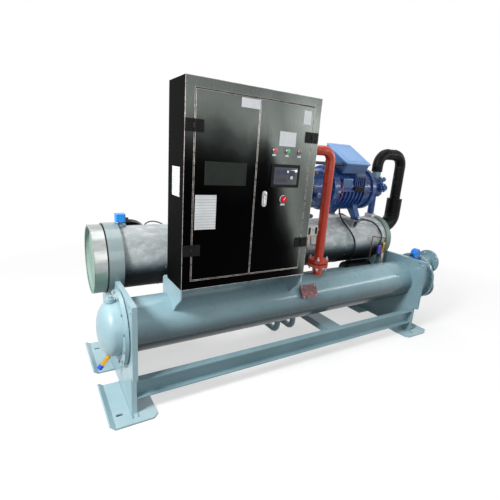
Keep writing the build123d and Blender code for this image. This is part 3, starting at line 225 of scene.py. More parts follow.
def cladding(name, shell):
    # embossed aluminium: rows of small diamonds with painted shade in their grooves, dents with painted
    # glints, painted shade towards the underside, and painted light making the right end paler
    look = newLook(name)
    x, y, z = look.split(look.vector("SUBTRACT", look.place, shell.centre)["Vector"])
    around = look.math("MULTIPLY", look.math("ARCTAN2", y, z), shell.radius)
    turns = math.pi / shell.pitch
    waves = [look.math("SINE", look.math("MULTIPLY", look.math(operation, x, around), turns))
        for operation in ("ADD", "SUBTRACT")]
    diamondsAndGrooveShade = look.math("ABSOLUTE", look.math("MULTIPLY", *waves))
    wrinkles = look.noise(7, 4)
    dentsAndGlints = look.noise(26, 5, stretch=(0.5, 1, 1), roughness=0.6)
    tone = look.ramp(wrinkles, (0.3, (0.44, 0.49, 0.5)), (0.7, (0.66, 0.71, 0.72)))
    # painted glints: bright patches on the dents
    tone = look.mix(look.ramp(dentsAndGlints, (0.46, 0.0), (0.66, 0.7)), tone, (0.9, 0.93, 0.93))
    # painted shade in the grooves between the diamonds
    tone = look.mix(look.span(diamondsAndGrooveShade, 0.0, 0.4, 0.5, 0.0), tone, (0.12, 0.15, 0.16))
    # painted shade: darker towards the underside
    shade = look.ramp(look.span(z, *shell.shade), (0.0, (0.003, 0.005, 0.006)),
        (0.3, (0.02, 0.032, 0.036)), (0.5, (0.14, 0.19, 0.21)),
        (0.8, (0.75, 0.8, 0.82)), (1.0, 1.0))
    # painted light: darker towards the left, paler towards the right end
    paintedLightAlong = look.ramp(look.span(x, -0.2, 0.5), (0.0, 0.72), (1.0, 1.0))
    look.bump(wrinkles, 0.35, 0.005)
    look.bump(dentsAndGlints, 0.3, 0.003)
    look.bump(diamondsAndGrooveShade, 0.9, 0.006)
    return look.finish(colour=look.darken(look.darken(tone, paintedLightAlong), shade),
        rough=look.ramp(wrinkles, (0.3, 0.42), (0.7, 0.56)), metal=0.6, specular=0.3)


def capLook(name, cap):
    # end cap: greenish paint, its rim wrapped in wrinkled bright tape down to mid-height
    look = newLook(name)
    drift = look.noise(6, 5)
    green = look.ramp(drift, (0.3, (0.2, 0.3, 0.26)), (0.7, (0.265, 0.38, 0.33)))
    creases = look.noise(12, 5, stretch=(0.5, 1, 3), roughness=0.6)
    tape = look.ramp(creases, (0.3, (0.29, 0.31, 0.3)), (0.7, (0.48, 0.5, 0.5)))
    height = look.math("ADD", look.split(look.place)[2], look.span(drift, 0.3, 0.7, -0.03, 0.03))
    upper = look.span(height, cap.tapeLow, cap.tapeLow + 0.02)
    taped = look.math("MINIMUM", look.outside(cap.centre, cap.tapeFrom), upper)
    look.bump(creases, 0.35, 0.003)
    return look.finish(colour=look.mix(taped, green, tape), metal=look.math("MULTIPLY", taped, 0.6),
        rough=look.span(taped, 0, 1, 0.5, 0.28))


def foam(name, colour, rough):
    # insulation skin: slight lumps, wrinkles and a dull sheen
    look = newLook(name)
    lumps = look.noise(18, 4)
    light = tuple(c * 1.6 + 0.0012 for c in colour)
    look.bump(lumps, 0.55, 0.006)
    look.bump(look.noise(240, 3), 0.15, 0.001)
    return look.finish(colour=look.ramp(lumps, (0.4, colour), (0.85, light)), specular=0.1,
        rough=look.ramp(lumps, (0.3, rough - 0.12), (0.8, rough + 0.2)))


def plastic(name, colour, rough=0.3, coat=0.3, variation=0.12, specular=0.5):
    look = newLook(name)
    low = tuple(c * (1 - variation) for c in colour)
    high = tuple(min(1, c * (1 + variation)) for c in colour)
    look.bump(look.noise(420, 2), 0.06, 0.0005)
    return look.finish(colour=look.ramp(look.noise(30, 3), (0.3, low), (0.7, high)), rough=rough,
        coat=coat, specular=specular)


def metal(name, colour, rough=0.3):
    look = newLook(name)
    tarnish = look.noise(35, 5)
    low = tuple(c * 0.55 for c in colour)
    return look.finish(colour=look.ramp(tarnish, (0.3, low), (0.65, colour)), metal=1.0,
        rough=look.ramp(tarnish, (0.3, rough + 0.15), (0.7, rough)))


def twoTone(name, maker, first, second, roughs=(0.3, 0.3), metals=(0.0, 0.0), specular=0.4):
    # one solid in two finishes, parted by a mask on its own coordinates
    look = newLook(name)
    mask = maker(look)
    drift = look.ramp(look.noise(40, 4), (0.3, 0.82), (0.7, 1.0))
    return look.finish(colour=look.darken(look.mix(mask, first, second), drift), specular=specular,
        rough=look.span(mask, 0, 1, *roughs), metal=look.span(mask, 0, 1, *metals))


def ruledPaper(name, pitch):
    # a bare sheet with faint ruled rows, nothing written on it
    look = newLook(name)
    rows = look.math("FRACT", look.math("DIVIDE", look.split(look.place)[2], pitch))
    dirt = look.ramp(look.noise(12, 6), (0.3, (0.6, 0.62, 0.63)), (0.6, (0.72, 0.74, 0.75)))
    return look.finish(colour=look.mix(look.span(rows, 0.16, 0.2), (0.42, 0.45, 0.48), dirt), rough=0.45)


cabinet = Sizes(
    left=-1.234, right=-0.294, bottom=0.806, top=2.006, front=-0.488, frontFrom=0.4665, leftFrom=1.2335,
    openLeft=-1.178, openRight=-0.35, openLow=0.86, openHigh=1.952, dimAt=-0.7, dimHalf=0.13)
jacket = Sizes(centre=(0, 0.19, 0.848), radius=0.225, pitch=0.018, shade=(-0.12, 0.045))
cap = Sizes(centre=(0, 0.19, 0.848), tapeFrom=0.2285, tapeLow=0.8)
drain = Sizes(way=(-0.6428, 0, -0.766), capFrom=0.0915, root=(-1.596, -0.222, 0.328))
drain.capAt = Vector(drain.root).dot(Vector(drain.way)) + drain.capFrom
display = Sizes(centre=(-0.54, -0.496, 1.507), half=(0.096, 0.006, 0.058))

materials = {
    "vessel": paint("vesselPaint", (0.205, 0.335, 0.385), (0.175, 0.295, 0.34),
        (0.24, 0.38, 0.43), rough=0.34, coat=0.3, dust=0.2, specular=0.2),
    # condenser shell: painted shade darkens its underside
    "shell": paint("shellPaint", (0.215, 0.35, 0.4), (0.185, 0.31, 0.355),
        (0.245, 0.385, 0.435), rough=0.3, coat=0.45, dust=0.15, specular=0.2,
        under=(0.39, 0.6)),
    # lit and shaded copies of the vessel paint: a paler one as painted light on the left-facing end plate,
    # feet, head and brackets, a darker one as painted shade on the head bolts
    "plate": paint("litPlatePaint", (0.31, 0.455, 0.5), (0.24, 0.375, 0.42),
        (0.38, 0.53, 0.575), rough=0.4, coat=0.25, dust=0.25),
    "band": paint("bandPaint", (0.19, 0.255, 0.262), (0.15, 0.21, 0.215),
        (0.24, 0.3, 0.3), rough=0.3, coat=0.6, dust=0.1, bump=0.3),
    "shadedPlatePaint": paint("shadedPlatePaint", (0.14, 0.23, 0.265), (0.09, 0.16, 0.19),
        (0.19, 0.29, 0.33), rough=0.35, coat=0.3, dust=0.1),
    "machine": paint("machineBlue", (0.013, 0.062, 0.25), (0.004, 0.014, 0.08),
        (0.034, 0.13, 0.38), rough=0.3, coat=0.35, dust=0.06, bump=0.4,
        specular=0.25, wear=(0.11, 0.26, 0.54)),
    "boxBlue": paint("boxBlue", (0.13, 0.3, 0.6), (0.105, 0.25, 0.53),
        (0.17, 0.35, 0.66), rough=0.32, coat=0.3, dust=0.1),
    "underBox": paint("underBoxBlue", (0.03, 0.11, 0.3), (0.015, 0.06, 0.19),
        (0.06, 0.17, 0.4), rough=0.35, coat=0.3, dust=0.1),
    "orange": paint("orangePaint", (0.64, 0.036, 0.002), (0.5, 0.024, 0.002),
        (0.76, 0.08, 0.008), rough=0.3, coat=0.3, dust=0.04),
    "capGreen": paint("capPaint", (0.2, 0.29, 0.245), (0.16, 0.24, 0.205),
        (0.26, 0.36, 0.32), rough=0.45, dust=0.1),
    "cap": capLook("taped cap", cap),
    "darkRed": paint("darkRed", (0.15, 0.01, 0.014), (0.07, 0.004, 0.006),
        (0.26, 0.03, 0.036), rough=0.22, coat=0.6, dust=0.1,
        wear=(0.42, 0.2, 0.21)),
    "hardware": paint("blackPaint", (0.003, 0.003, 0.0035), (0.002, 0.002, 0.002),
        (0.006, 0.006, 0.007), rough=0.45, dust=0.0, specular=0.15),
    "cabinet": cabinetSteel("cabinetSteel", cabinet),
    "trim": brushed("trimSteel", (0.62, 0.58, 0.55), (0.2, 0.17, 0.16), 0.28, (2, 2, 5)),
    "galvanised": brushed("galvanised", (0.62, 0.63, 0.64), (0.4, 0.41, 0.42), 0.42, (3, 3, 3)),
    "cladding": cladding("cladding", jacket),
    "foam": foam("foam", (0.0015, 0.0015, 0.0018), 0.4),
    "tape": foam("foamTape", (0.02, 0.021, 0.022), 0.3),
    "rubber": foam("rubber", (0.012, 0.012, 0.013), 0.55),
    "bluePlastic": plastic("bluePlastic", (0.015, 0.23, 0.8)),
    "violetPlastic": plastic("violetPlastic", (0.09, 0.06, 0.42)),
    "whitePlastic": plastic("whitePlastic", (0.7, 0.71, 0.7)),
    "greyPlastic": plastic("greyPlastic", (0.3, 0.31, 0.32)),
    "blackPlastic": plastic("blackPlastic", (0.004, 0.004, 0.005), coat=0.1, specular=0.3),
    "redPlastic": plastic("redPlastic", (0.62, 0.01, 0.02), coat=0.6),
    "greenPlastic": plastic("greenPlastic", (0.01, 0.42, 0.11), coat=0.6),
    "smokePlastic": plastic("smokePlastic", (0.07, 0.012, 0.012), coat=0.6),
    "displayBlue": plastic("displayBlue", (0.006, 0.014, 0.055), rough=0.12, coat=0.4),
    "glass": plastic("darkGlass", (0.004, 0.006, 0.01), rough=0.06, coat=1.0),
    "valveMetal": twoTone("valveTones", lambda look: look.beyond(toTop, 0.7436),
        (0.6, 0.62, 0.62), (0.4, 0.25, 0.08), (0.35, 0.3), (0.8, 1.0)),
    "brass": metal("brass", (0.6, 0.4, 0.12)),
    "copper": metal("copper", (0.2, 0.095, 0.06), rough=0.4),
    "zinc": metal("zinc", (0.62, 0.63, 0.64)),
    "chrome": metal("chrome", (0.85, 0.86, 0.86), rough=0.12),
    "paper": ruledPaper("ruledPaper", 0.0165),
    "plainPaper": plastic("plainPaper", (0.66, 0.69, 0.72), rough=0.45, coat=0.0, variation=0.05),
    "greyPlate": plastic("greyPlate", (0.02, 0.024, 0.021), rough=0.5, coat=0.0, specular=0.1),
    "drain": twoTone("drainTones", lambda look: look.beyond(drain.way, drain.capAt),
        (0.66, 0.4, 0.07), (0.012, 0.095, 0.75), (0.28, 0.35), (1.0, 0.0)),
    "screen": twoTone("screenTones", lambda look: look.within(display.centre, display.half),
        (0.003, 0.003, 0.004), (0.004, 0.008, 0.045), (0.5, 0.07), specular=0.15),
    "lampBody": twoTone("lampTones", lambda look: look.beyond(toFront, 0.4935),
        (0.008, 0.008, 0.009), (0.1, 0.1, 0.1), (0.3, 0.2)),
    "knob": twoTone("knobTones", lambda look: look.beyond(toFront, 0.4962),
        (0.01, 0.01, 0.011), (0.62, 0.01, 0.03), (0.3, 0.2)),
    "switchBlue": twoTone("flowSwitchTones", lambda look: look.beyond(toTop, 0.7228),
        (0.45, 0.46, 0.47), (0.015, 0.23, 0.82), (0.3, 0.3), (1.0, 0.0)),
    "actuator": twoTone("actuatorTones", lambda look: look.beyond(toTop, 1.1062),
        (0.24, 0.33, 0.36), (0.02, 0.29, 0.86), (0.35, 0.3)),
    "sensorWhite": twoTone("sensorTones", lambda look: look.beyond(toRight, 0.0169),
        (0.7, 0.71, 0.7), (0.45, 0.46, 0.47), (0.35, 0.35), (0.0, 0.9)),
}

nodeLooks = {
    "vessel": "front_beam rear_beam cross_beam condenser_water_box liquid_line suction_stub right_end_plate",
    "plate": "left_end_plate left_front_foot left_rear_foot right_front_foot right_rear_foot"
    " condenser_head cabinet_left_bracket cabinet_right_bracket",
    "band": "evaporator_band",
    "shell": "condenser_shell",
    "machine": "compressor_body motor_housing motor_cover suction_valve",
    "boxBlue": "terminal_lid",
    "underBox": "terminal_box",
    "orange": "discharge_pipe discharge_flanges",
    "cap": "evaporator_cap",
    "capGreen": "evaporator_tail",
    "darkRed": "plate_bracket",
    "hardware": "hinge_frames left_door_leaves right_door_leaves",
    "cabinet": "cabinet_body left_door right_door",
    "galvanised": "mounting_plate compressor_mounts",
    "cladding": "evaporator_shell",
    "foam": "evaporator_nozzles suction_pipe filter_drier",
    "switchBlue": "flow_switch",
    "actuator": "vent_actuator",
    "sensorWhite": "sensor_box",
    "blackPlastic": "cable_glands motor_cables control_cables",
    "violetPlastic": "solenoid_coil",
    "screen": "touch_screen",
    "copper": "capillary",
    "lampBody": "door_lamps",
    "knob": "door_switch",
    "drain": "drain_valve",
    "valveMetal": "service_valve",
    "zinc": "door_lock",
}
for look, names in nodeLooks.items():
    for name in names.split():
        nodes[name].data.materials.clear()
        nodes[name].data.materials.append(materials[look])
print("materials done")

slotLooks = {
    "vessel_paint": "vessel", "foot_steel": "shadedPlatePaint", "machine_blue": "machine",
    "box_blue": "boxBlue underBox", "orange_paint": "orange", "cap_paint": "capGreen",
    "black_hardware": "hardware", "stainless": "trim chrome greyPlate",
    "galvanised": "galvanised zinc", "jacket": "cladding", "foam": "tape",
    "black_plastic": "rubber blackPlastic", "blue_plastic": "bluePlastic",
    "white_plastic": "whitePlastic greyPlastic paper plainPaper",
    "lamp": "redPlastic greenPlastic smokePlastic", "screen": "glass displayBlue",
    "brass": "brass", "copper": "copper",
}
lookSlots = {look: slot for slot, looks in slotLooks.items() for look in looks.split()}


# Modelling
def select(pieces):
    bpy.ops.object.select_all(action="DESELECT")
    for piece in pieces:
        piece.select_set(True)
    bpy.context.view_layer.objects.active = pieces[0]


def turnTo(way):
    return Vector(way).to_track_quat("Z", "Y")


def insetFaces(piece, way, *steps, least=0.95):
    # insets what faces that way, once for each margin and depth
    select([piece])
    bpy.ops.object.mode_set(mode="EDIT")
    bpy.ops.mesh.select_mode(type="FACE")
    bpy.ops.mesh.select_all(action="DESELECT")
    bpy.ops.object.mode_set(mode="OBJECT")
    way = Vector(way).normalized()
    for face in piece.data.polygons:
        face.select = face.normal.dot(way) > least
    bpy.ops.object.mode_set(mode="EDIT")
    for margin, depth in steps:
        bpy.ops.mesh.inset(thickness=margin, depth=depth)
    bpy.ops.object.mode_set(mode="OBJECT")
    return piece


def stepFace(piece, way, margin, depth, wall=0.0005):
    # a raised or sunk field inside a face's margin; a negative depth sinks it
    return insetFaces(piece, way, (margin, 0), (wall, depth))


def settle(rounding=0.0, segments=2):
    # applies the place of the piece just made and rounds its edges
    bpy.ops.object.transform_apply(location=True, rotation=True, scale=True)
    piece = bpy.context.object
    if rounding:
        select([piece])
        modifier = piece.modifiers.new("rounded", "BEVEL")
        modifier.width = rounding
        modifier.segments = segments
        modifier.limit_method = "ANGLE"
        modifier.angle_limit = math.radians(40)
        bpy.ops.object.modifier_apply(modifier="rounded")
    return piece


def addBlock(size, centre, rounding=0.0, segments=2, turn=(0, 0, 0)):
    bpy.ops.object.select_all(action="DESELECT")
    bpy.ops.mesh.primitive_cube_add(size=1, location=centre, rotation=turn)
    bpy.context.object.scale = size
    return settle(rounding, segments)


def addRod(radius, length, centre, way=toTop, sides=32, rounding=0.0, segments=2):
    bpy.ops.object.select_all(action="DESELECT")
    bpy.ops.mesh.primitive_cylinder_add(vertices=sides, radius=radius, depth=length,
        location=centre, rotation=turnTo(way).to_euler())
    return settle(rounding, segments)


def addRing(radius, thickness, centre, way=toTop, sides=72, small=8):
    bpy.ops.object.select_all(action="DESELECT")
    bpy.ops.mesh.primitive_torus_add(major_radius=radius, minor_radius=thickness, location=centre,
        rotation=turnTo(way).to_euler(), major_segments=sides,
        minor_segments=small)
    return settle()


def addTube(points, radius, smooth=True, sides=4):
    # a wire or small pipe along its points, its ends closed
    curve = bpy.data.curves.new("wire", "CURVE")
    curve.dimensions = "3D"
    curve.bevel_depth = radius
    curve.bevel_resolution = sides
    curve.resolution_u = 10
    curve.use_fill_caps = True
    spline = curve.splines.new("NURBS" if smooth else "POLY")
    spline.points.add(len(points) - 1)
    for point, place in zip(spline.points, points):
        point.co = (*place, 1)
    spline.use_endpoint_u = True
    spline.order_u = 3
    wire = bpy.data.objects.new("wire", curve)
    bpy.context.collection.objects.link(wire)
    select([wire])
    bpy.ops.object.convert(target="MESH")
    return bpy.context.object


def joined(parts):
    select(parts)
    if len(parts) > 1:
        bpy.ops.object.join()
    return settle()


def dress(name, parts, look, body="unit"):
    # joins the parts, leaves the piece at the origin and gives it its look and body
    piece = joined(parts)
    bpy.ops.object.shade_smooth_by_angle(angle=math.radians(35))
    piece.name = name
    piece.data.name = name
    piece.data.materials.clear()
    piece.data.materials.append(materials[look])
    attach(piece, body)
    return piece


def hexBolt(radius, height, stud=0.0):
    # chamfered hex head on a washer, standing on the XY plane; a stud end shows on a nut
    washer = addRod(radius * 1.22, height * 0.22, (0, 0, height * 0.11), sides=12)
    head = addRod(radius, height * 0.9, (0, 0, height * 0.65), sides=6)
    parts = [insetFaces(head, toTop, (radius * 0.13, height * 0.1)), washer]
    if stud:
        parts.append(addRod(radius * 0.52, stud, (0, 0, height * 1.2 + stud / 2 - 0.001), sides=10,
                rounding=radius * 0.1, segments=1))
    return joined(parts)


def panScrew(radius):
    # low round head with a cross slot's dimple
    screw = addRod(radius, radius * 0.55, (0, 0, radius * 0.27), sides=14, rounding=radius * 0.22)
    return insetFaces(screw, toTop, (radius * 0.25, -radius * 0.2), least=0.99)


def copyTo(master, matrices):
    copies = []
    for matrix in matrices:
        copy = master.copy()
        copy.data = master.data.copy()
        bpy.context.collection.objects.link(copy)
        copy.matrix_world = matrix
        copies.append(copy)
    bpy.data.objects.remove(master)
    return copies


def spread(name, master, spots, look, body="unit"):
    # one copy at each spot, each turned a little further than the last
    matrices = [Matrix.Translation(point) @ turnTo(way).to_matrix().to_4x4()
        @ Matrix.Rotation(math.radians(17 * number), 4, "Z") for number, (point, way) in enumerate(spots)]
    return dress(name, copyTo(master, matrices), look, body)


def circleSpots(count, radius, centre, way, first=0.0):
    # places on a circle round way, its angles counted from the top
    axis = Vector(way).normalized()
    top = Vector(toTop) if abs(axis.z) < 0.9 else Vector(toRight)
    side = axis.cross(top)
    spots = []
    for number in range(count):
        angle = math.radians(first + 360 * number / count)
        spots.append((Vector(centre) + radius * (math.cos(angle) * top + math.sin(angle) * side), axis))
    return spots


def cornerSpots(centre, half, way, across, down):
    # the four corners of a rectangle that faces way
    centre, across, down = Vector(centre), Vector(across), Vector(down)
    return [(centre + a * half[0] * across + b * half[1] * down, Vector(way))
        for a in (-1, 1) for b in (-1, 1)]


def leaning(degrees):
    # a face tipped to the front: the way it looks and the way down it
    turn = math.radians(degrees)
    return (Vector((0, -math.sin(turn), math.cos(turn))), Vector((0, -math.cos(turn), -math.sin(turn))))


def panel(size, centre, rounding, margin, depth, way=toFront):
    # a rounded block with a raised or sunk field on one face
    return stepFace(addBlock(size, centre, rounding), way, margin, depth)


def chip(size, centre, rounding=0.0004, turn=(0, 0, 0)):
    # a thin plate, its edges only just broken
    return addBlock(size, centre, rounding, 1, turn)


# Condenser
condenser = Sizes(
    y=-0.222, z=0.506, shell=0.1778, shellEnds=(-1.4945, 1.1985), headFace=-1.558, gasketMid=-1.531,
    gasket=0.2335, boxFace=1.262, coverNear=1.432, coverFace=1.46, drum=0.2035, drumEnds=(1.2632, 1.431),
    pipe=0.06985, pipesZ=(0.372, 0.64), pipeEnds=(1.4612, 1.664), weld=0.0035, bolts=12, boltCircle=0.224)
condenserAxis = (condenser.y, condenser.z)


def flangeSpots(x, way, first):
    return circleSpots(condenser.bolts, condenser.boltCircle, (x, *condenserAxis), way, first)


spread("head_bolts", hexBolt(0.009, 0.0055), flangeSpots(condenser.headFace, toLeft, -17), "shadedPlatePaint")
spread("box_bolts", hexBolt(0.0125, 0.0095),
    flangeSpots(condenser.boxFace, toRight, 13) + flangeSpots(condenser.coverFace, toRight, 13)
    + flangeSpots(condenser.coverNear, toLeft, 13), "vessel")
dress("head_gasket", [addRod(condenser.gasket, 0.005, (condenser.gasketMid, *condenserAxis),
            toRight, sides=120, rounding=0.0012)], "rubber")
weldRings = [(condenser.shell + 0.001, x, condenser.z, 96) for x in condenser.shellEnds]
weldRings += [(condenser.pipe + 0.001, x, z, 72) for z in condenser.pipesZ for x in condenser.pipeEnds]
weldRings += [(condenser.drum, x, condenser.z, 96) for x in condenser.drumEnds]
dress("condenser_welds", [addRing(radius, condenser.weld, (x, condenser.y, z), toRight, sides)
        for radius, x, z, sides in weldRings], "vessel")

# Dished head: its flange carries the vent boss and the drain
dress("head_welds", [addRing(0.0275, 0.003, (-1.598, condenser.y, 0.6885), toTop, 40),
        addRing(0.0115, 0.0022, (-1.5975, condenser.y, 0.3262), drain.way, 32)], "vessel")

mark = Sizes(x=-0.128, angle=58, stand=0.026, half=(0.066, 0.04))
markWay, markDown = leaning(mark.angle)
markCentre = Vector((mark.x, *condenserAxis)) + markWay * (condenser.shell + mark.stand)
spread("plate_rivets", panScrew(0.0045),
    cornerSpots(markCentre, mark.half, markWay, toRight, markDown), "zinc")

# Beads where the feet and beams meet the end plates
beads = Sizes(
    radius=0.0045, plateFaces=(-1.5285, -1.4955, 1.1995, 1.2325), footZ=0.0135,
    footY=((-0.497, -0.086), (0.086, 0.497)), innerFaces=(-1.4955, 1.1995), beamY=(-0.4065, 0.4065),
    beamZ=(0.122, 0.23))
beadSpots = [[(x, y, beads.footZ) for y in ends] for x in beads.plateFaces for ends in beads.footY]
beadSpots += [[(x, y, z) for z in beads.beamZ] for x in beads.innerFaces for y in beads.beamY]
dress("frame_welds", [addTube(ends, beads.radius, smooth=False, sides=2) for ends in beadSpots], "vessel")
# black rubber pads set in the foot slots as painted shade inside them
slotShade = Sizes(x=(-1.596, 1.3), y=(-0.43, 0.43), size=(0.0425, 0.0185, 0.0034))
dress("slot_shade_pads", [addBlock(slotShade.size, (x, y, slotShade.size[2] / 2), 0.0014)
        for x in slotShade.x for y in slotShade.y], "rubber")
print("condenser done")

# Evaporator
evaporator = Sizes(
    y=0.19, z=0.848, jacket=0.225, seams=(-1.18, -0.59, 0.02, 0.62, 1.09),
    seamRings=((0.0004, 0.0022, -0.014), (0.0002, 0.0016, 0.014)), jacketEnds=(-1.464, 1.169),
    backAngle=118, nozzles=(-1.318, 0.972), nozzleTilt=16, nozzleTapes=((0.236, 0.0935), (0.262, 0.0925)))
evaporatorAxis = (evaporator.y, evaporator.z)


def roundBead(radius, thickness, x, sides=120):
    return addRing(radius, thickness, (x, *evaporatorAxis), toRight, sides, 6)


seams = [roundBead(evaporator.jacket + lift, thickness, x + step, 96)
    for x in evaporator.seams for lift, thickness, step in evaporator.seamRings]
backTurn = math.radians(evaporator.backAngle)
backY = evaporator.y + (evaporator.jacket + 0.0004) * math.sin(backTurn)
backZ = evaporator.z + (evaporator.jacket + 0.0004) * math.cos(backTurn)
seams.append(addTube([(x, backY, backZ) for x in evaporator.jacketEnds], 0.0022, smooth=False, sides=2))
dress("jacket_seams", seams, "cladding")
rivetSpots = []
for x in evaporator.seams:
    middle = Vector((x, *evaporatorAxis))
    rivetSpots += [(point, point - middle)
        for point, way in circleSpots(20, evaporator.jacket + 0.0002, middle, toRight, 9)]
spread("jacket_rivets", panScrew(0.0038), rivetSpots, "zinc")
dress("cap_beads", [roundBead(0.2395, 0.0022, -1.6505), roundBead(0.225, 0.002, -1.65)], "capGreen")
# a black disc between cap and band as painted shade in the gap
dress("cap_gap_shade", [addRod(0.2455, 0.006, (-1.5655, *evaporatorAxis), toRight, 120, 0.001)], "rubber")
dress("tail_beads", [roundBead(0.2375, 0.0022, x) for x in (1.1715, 1.2345)], "capGreen")

# Wrapped nozzles: tape round each neck
tilt = math.radians(evaporator.nozzleTilt)
nozzleWay = Vector((0, math.cos(tilt), -math.sin(tilt)))
dress("nozzle_tape", [addRing(radius, 0.0024, Vector((x, *evaporatorAxis)) + nozzleWay * distance,
            nozzleWay, 64, 6) for x in evaporator.nozzles
        for distance, radius in evaporator.nozzleTapes], "tape")

actuator = Sizes(x=-1.4385, y=0.19, top=1.163, glandZ=1.128)
spread("actuator_screws", panScrew(0.0035),
    cornerSpots((actuator.x, actuator.y, actuator.top), (0.026, 0.03), toTop, toRight, toBack), "zinc")
dress("actuator_gland", [
        addRod(0.0085, 0.01, (actuator.x + 0.0395, actuator.y, actuator.glandZ), toRight, 6),
        addRod(0.0072, 0.012, (actuator.x + 0.048, actuator.y, actuator.glandZ), toRight, 20, 0.002),
    ], "blackPlastic")
loop = ((-1.262, 1.05), (-1.245, 1.076), (-1.205, 1.09), (-1.16, 1.084), (-1.118, 1.066),
    (-1.085, 1.036), (-1.04, 1.052))
dress("sensor_loop", [addTube([(x, 0.256, z) for x, z in loop], 0.0045)], "tape")
print("evaporator done")

# Compressor
machine = Sizes(
    y=0.19, z=1.372, flangeBolts=18, joint=(0.376, 0.446, 0.1975), end=(0.926, 0.1935), coverBolts=16,
    cover=(-0.138, 0.1855))
jointNear, jointFar, jointCircle = machine.joint
casingSpots = []
for count, x, way, circle, first in (
        (machine.flangeBolts, jointNear, toLeft, jointCircle, 10),
        (machine.flangeBolts, jointFar, toRight, jointCircle, 10),
        (machine.flangeBolts, machine.end[0], toRight, machine.end[1], 10),
        (machine.coverBolts, machine.cover[0], toLeft, machine.cover[1], 11)):
    casingSpots += circleSpots(count, circle, (x, machine.y, machine.z), way, first)
spread("casing_bolts", hexBolt(0.0086, 0.0085), casingSpots, "machine")
print("casing bolts done")

portFace = -0.008
ports = ((-0.048, 1.328, 0.034), (0.07, 1.342, 0.046))
plugs = []
portBolts = []
for x, z, radius in ports:
    cover = addRod(radius * 0.98, 0.007, (x, portFace - 0.0035, z), toFront, 40, 0.0015)
    plugs.append(stepFace(cover, toFront, radius * 0.22, -0.002))
    plugs.append(addRod(radius * 0.42, 0.013, (x, portFace - 0.009, z), toFront, 6, 0.0015))
    portBolts += circleSpots(6, radius * 0.76, (x, portFace - 0.0068, z), toFront, 30)
dress("port_plugs", plugs, "machine")
spread("port_bolts", hexBolt(0.0052, 0.005), portBolts, "zinc")
sight = Sizes(x=0.194, z=1.322, ring=0.0285, glass=0.0175)
dress("sight_ring", [stepFace(addRod(sight.ring, 0.01, (sight.x, portFace - 0.005, sight.z),
                toFront, 40, 0.002), toFront, 0.01, -0.003)], "machine")
dress("sight_glass", [addRod(sight.glass, 0.003, (sight.x, portFace - 0.0082, sight.z),
            toFront, 32, 0.001)], "glass")
casePlugs = [((0.384, 0.004, 1.372), (0, -1, 0.1)), ((0.396, 0.006, 1.309), (0, -1, -0.2)),
    ((0.3, 0.013, 1.404), (0, -1, 0.2)), ((0.006, 0.012, 1.41), (0, -1, 0.2))]
spread("case_plugs", hexBolt(0.0125, 0.009, stud=0.004), casePlugs, "zinc")

dress("motor_block", [panel((0.13, 0.022, 0.048), (0.691, -0.0075, 1.38), 0.004, 0.008, -0.003)],
    "rubber")
dress("motor_plate", [panel((0.118, 0.006, 0.08), (0.532, -0.0125, 1.434), 0.002, 0.009, -0.0015)],
    "underBox")
spread("motor_plate_screws", panScrew(0.004),
    cornerSpots((0.532, -0.0155, 1.434), (0.0545, 0.0355), toFront, toRight, toTop), "zinc")
probeWay = (0.35, -1, 0.1)
dress("probe_plug", [addRod(0.0095, 0.03, (0.427, -0.02, 1.356), probeWay, 20, 0.002),
        addRod(0.012, 0.01, (0.425, -0.006, 1.356), probeWay, 6)], "whitePlastic")
probeRuns = (((0.432, -0.033, 1.358), (0.45, -0.046, 1.376), (0.458, -0.032, 1.408), (0.448, -0.01, 1.44)),
    ((0.432, -0.033, 1.355), (0.452, -0.046, 1.338), (0.448, -0.03, 1.3), (0.44, 0, 1.262)))
dress("probe_wires", [addTube(run, 0.0024) for run in probeRuns], "redPlastic")
spread("foot_bolts", hexBolt(0.0145, 0.012, stud=0.01),
    cornerSpots((0.325, machine.y, 1.104), (0.403, 0.212), toTop, toRight, toBack), "zinc")
spread("gas_port_bolts", hexBolt(0.0095, 0.009, stud=0.006),
    cornerSpots((-0.078, machine.y, 1.576), (0.05, 0.05), toTop, toRight, toBack), "machine")
valve = Sizes(
    x=1.137, y=0.19, top=1.486, topCircle=0.088, low=1.464, lowCircle=0.091, bonnet=(1.137, 0.068, 1.392),
    bonnetCircle=0.035, flange=(1.006, 0.19, 1.372))
valveSpots = circleSpots(8, valve.topCircle, (valve.x, valve.y, valve.top), toTop, 22.5)
valveSpots += circleSpots(8, valve.lowCircle, (valve.x, valve.y, valve.low), toFloor, 22.5)
valveSpots += cornerSpots(valve.flange, (0.058, 0.058), toRight, toBack, toTop)
spread("valve_bolts", hexBolt(0.0092, 0.009), valveSpots, "machine")
spread("bonnet_bolts", hexBolt(0.0052, 0.005),
    circleSpots(6, valve.bonnetCircle, valve.bonnet, toFront, 30), "zinc")

# Terminal box: its lid lies on a slope
terminal = Sizes(
    origin=Vector((0.46, 0.254, 1.788)), tilt=30, width=0.306, length=0.35, inset=0.017, margin=0.07)
lidWay, lidDown = leaning(terminal.tilt)
lidSpots = [(terminal.origin + Vector((across, 0, 0)) + lidDown * along, lidWay)
    for across in (terminal.inset, terminal.width / 2, terminal.width - terminal.inset)
    for along in (terminal.inset, terminal.length - terminal.inset)]
spread("lid_screws", hexBolt(0.0062, 0.004), lidSpots, "zinc")
lidCentre = terminal.origin + Vector((terminal.width / 2, 0, 0)) + lidDown * terminal.length / 2
lidSize = (terminal.width - terminal.margin, terminal.length - terminal.margin, 0.003)
field = addBlock(lidSize, lidCentre + lidWay * 0.0008, 0.001, turn=(math.radians(terminal.tilt), 0, 0))
dress("lid_field", [stepFace(field, lidWay, 0.006, -0.0012)], "boxBlue")
print("compressor done")

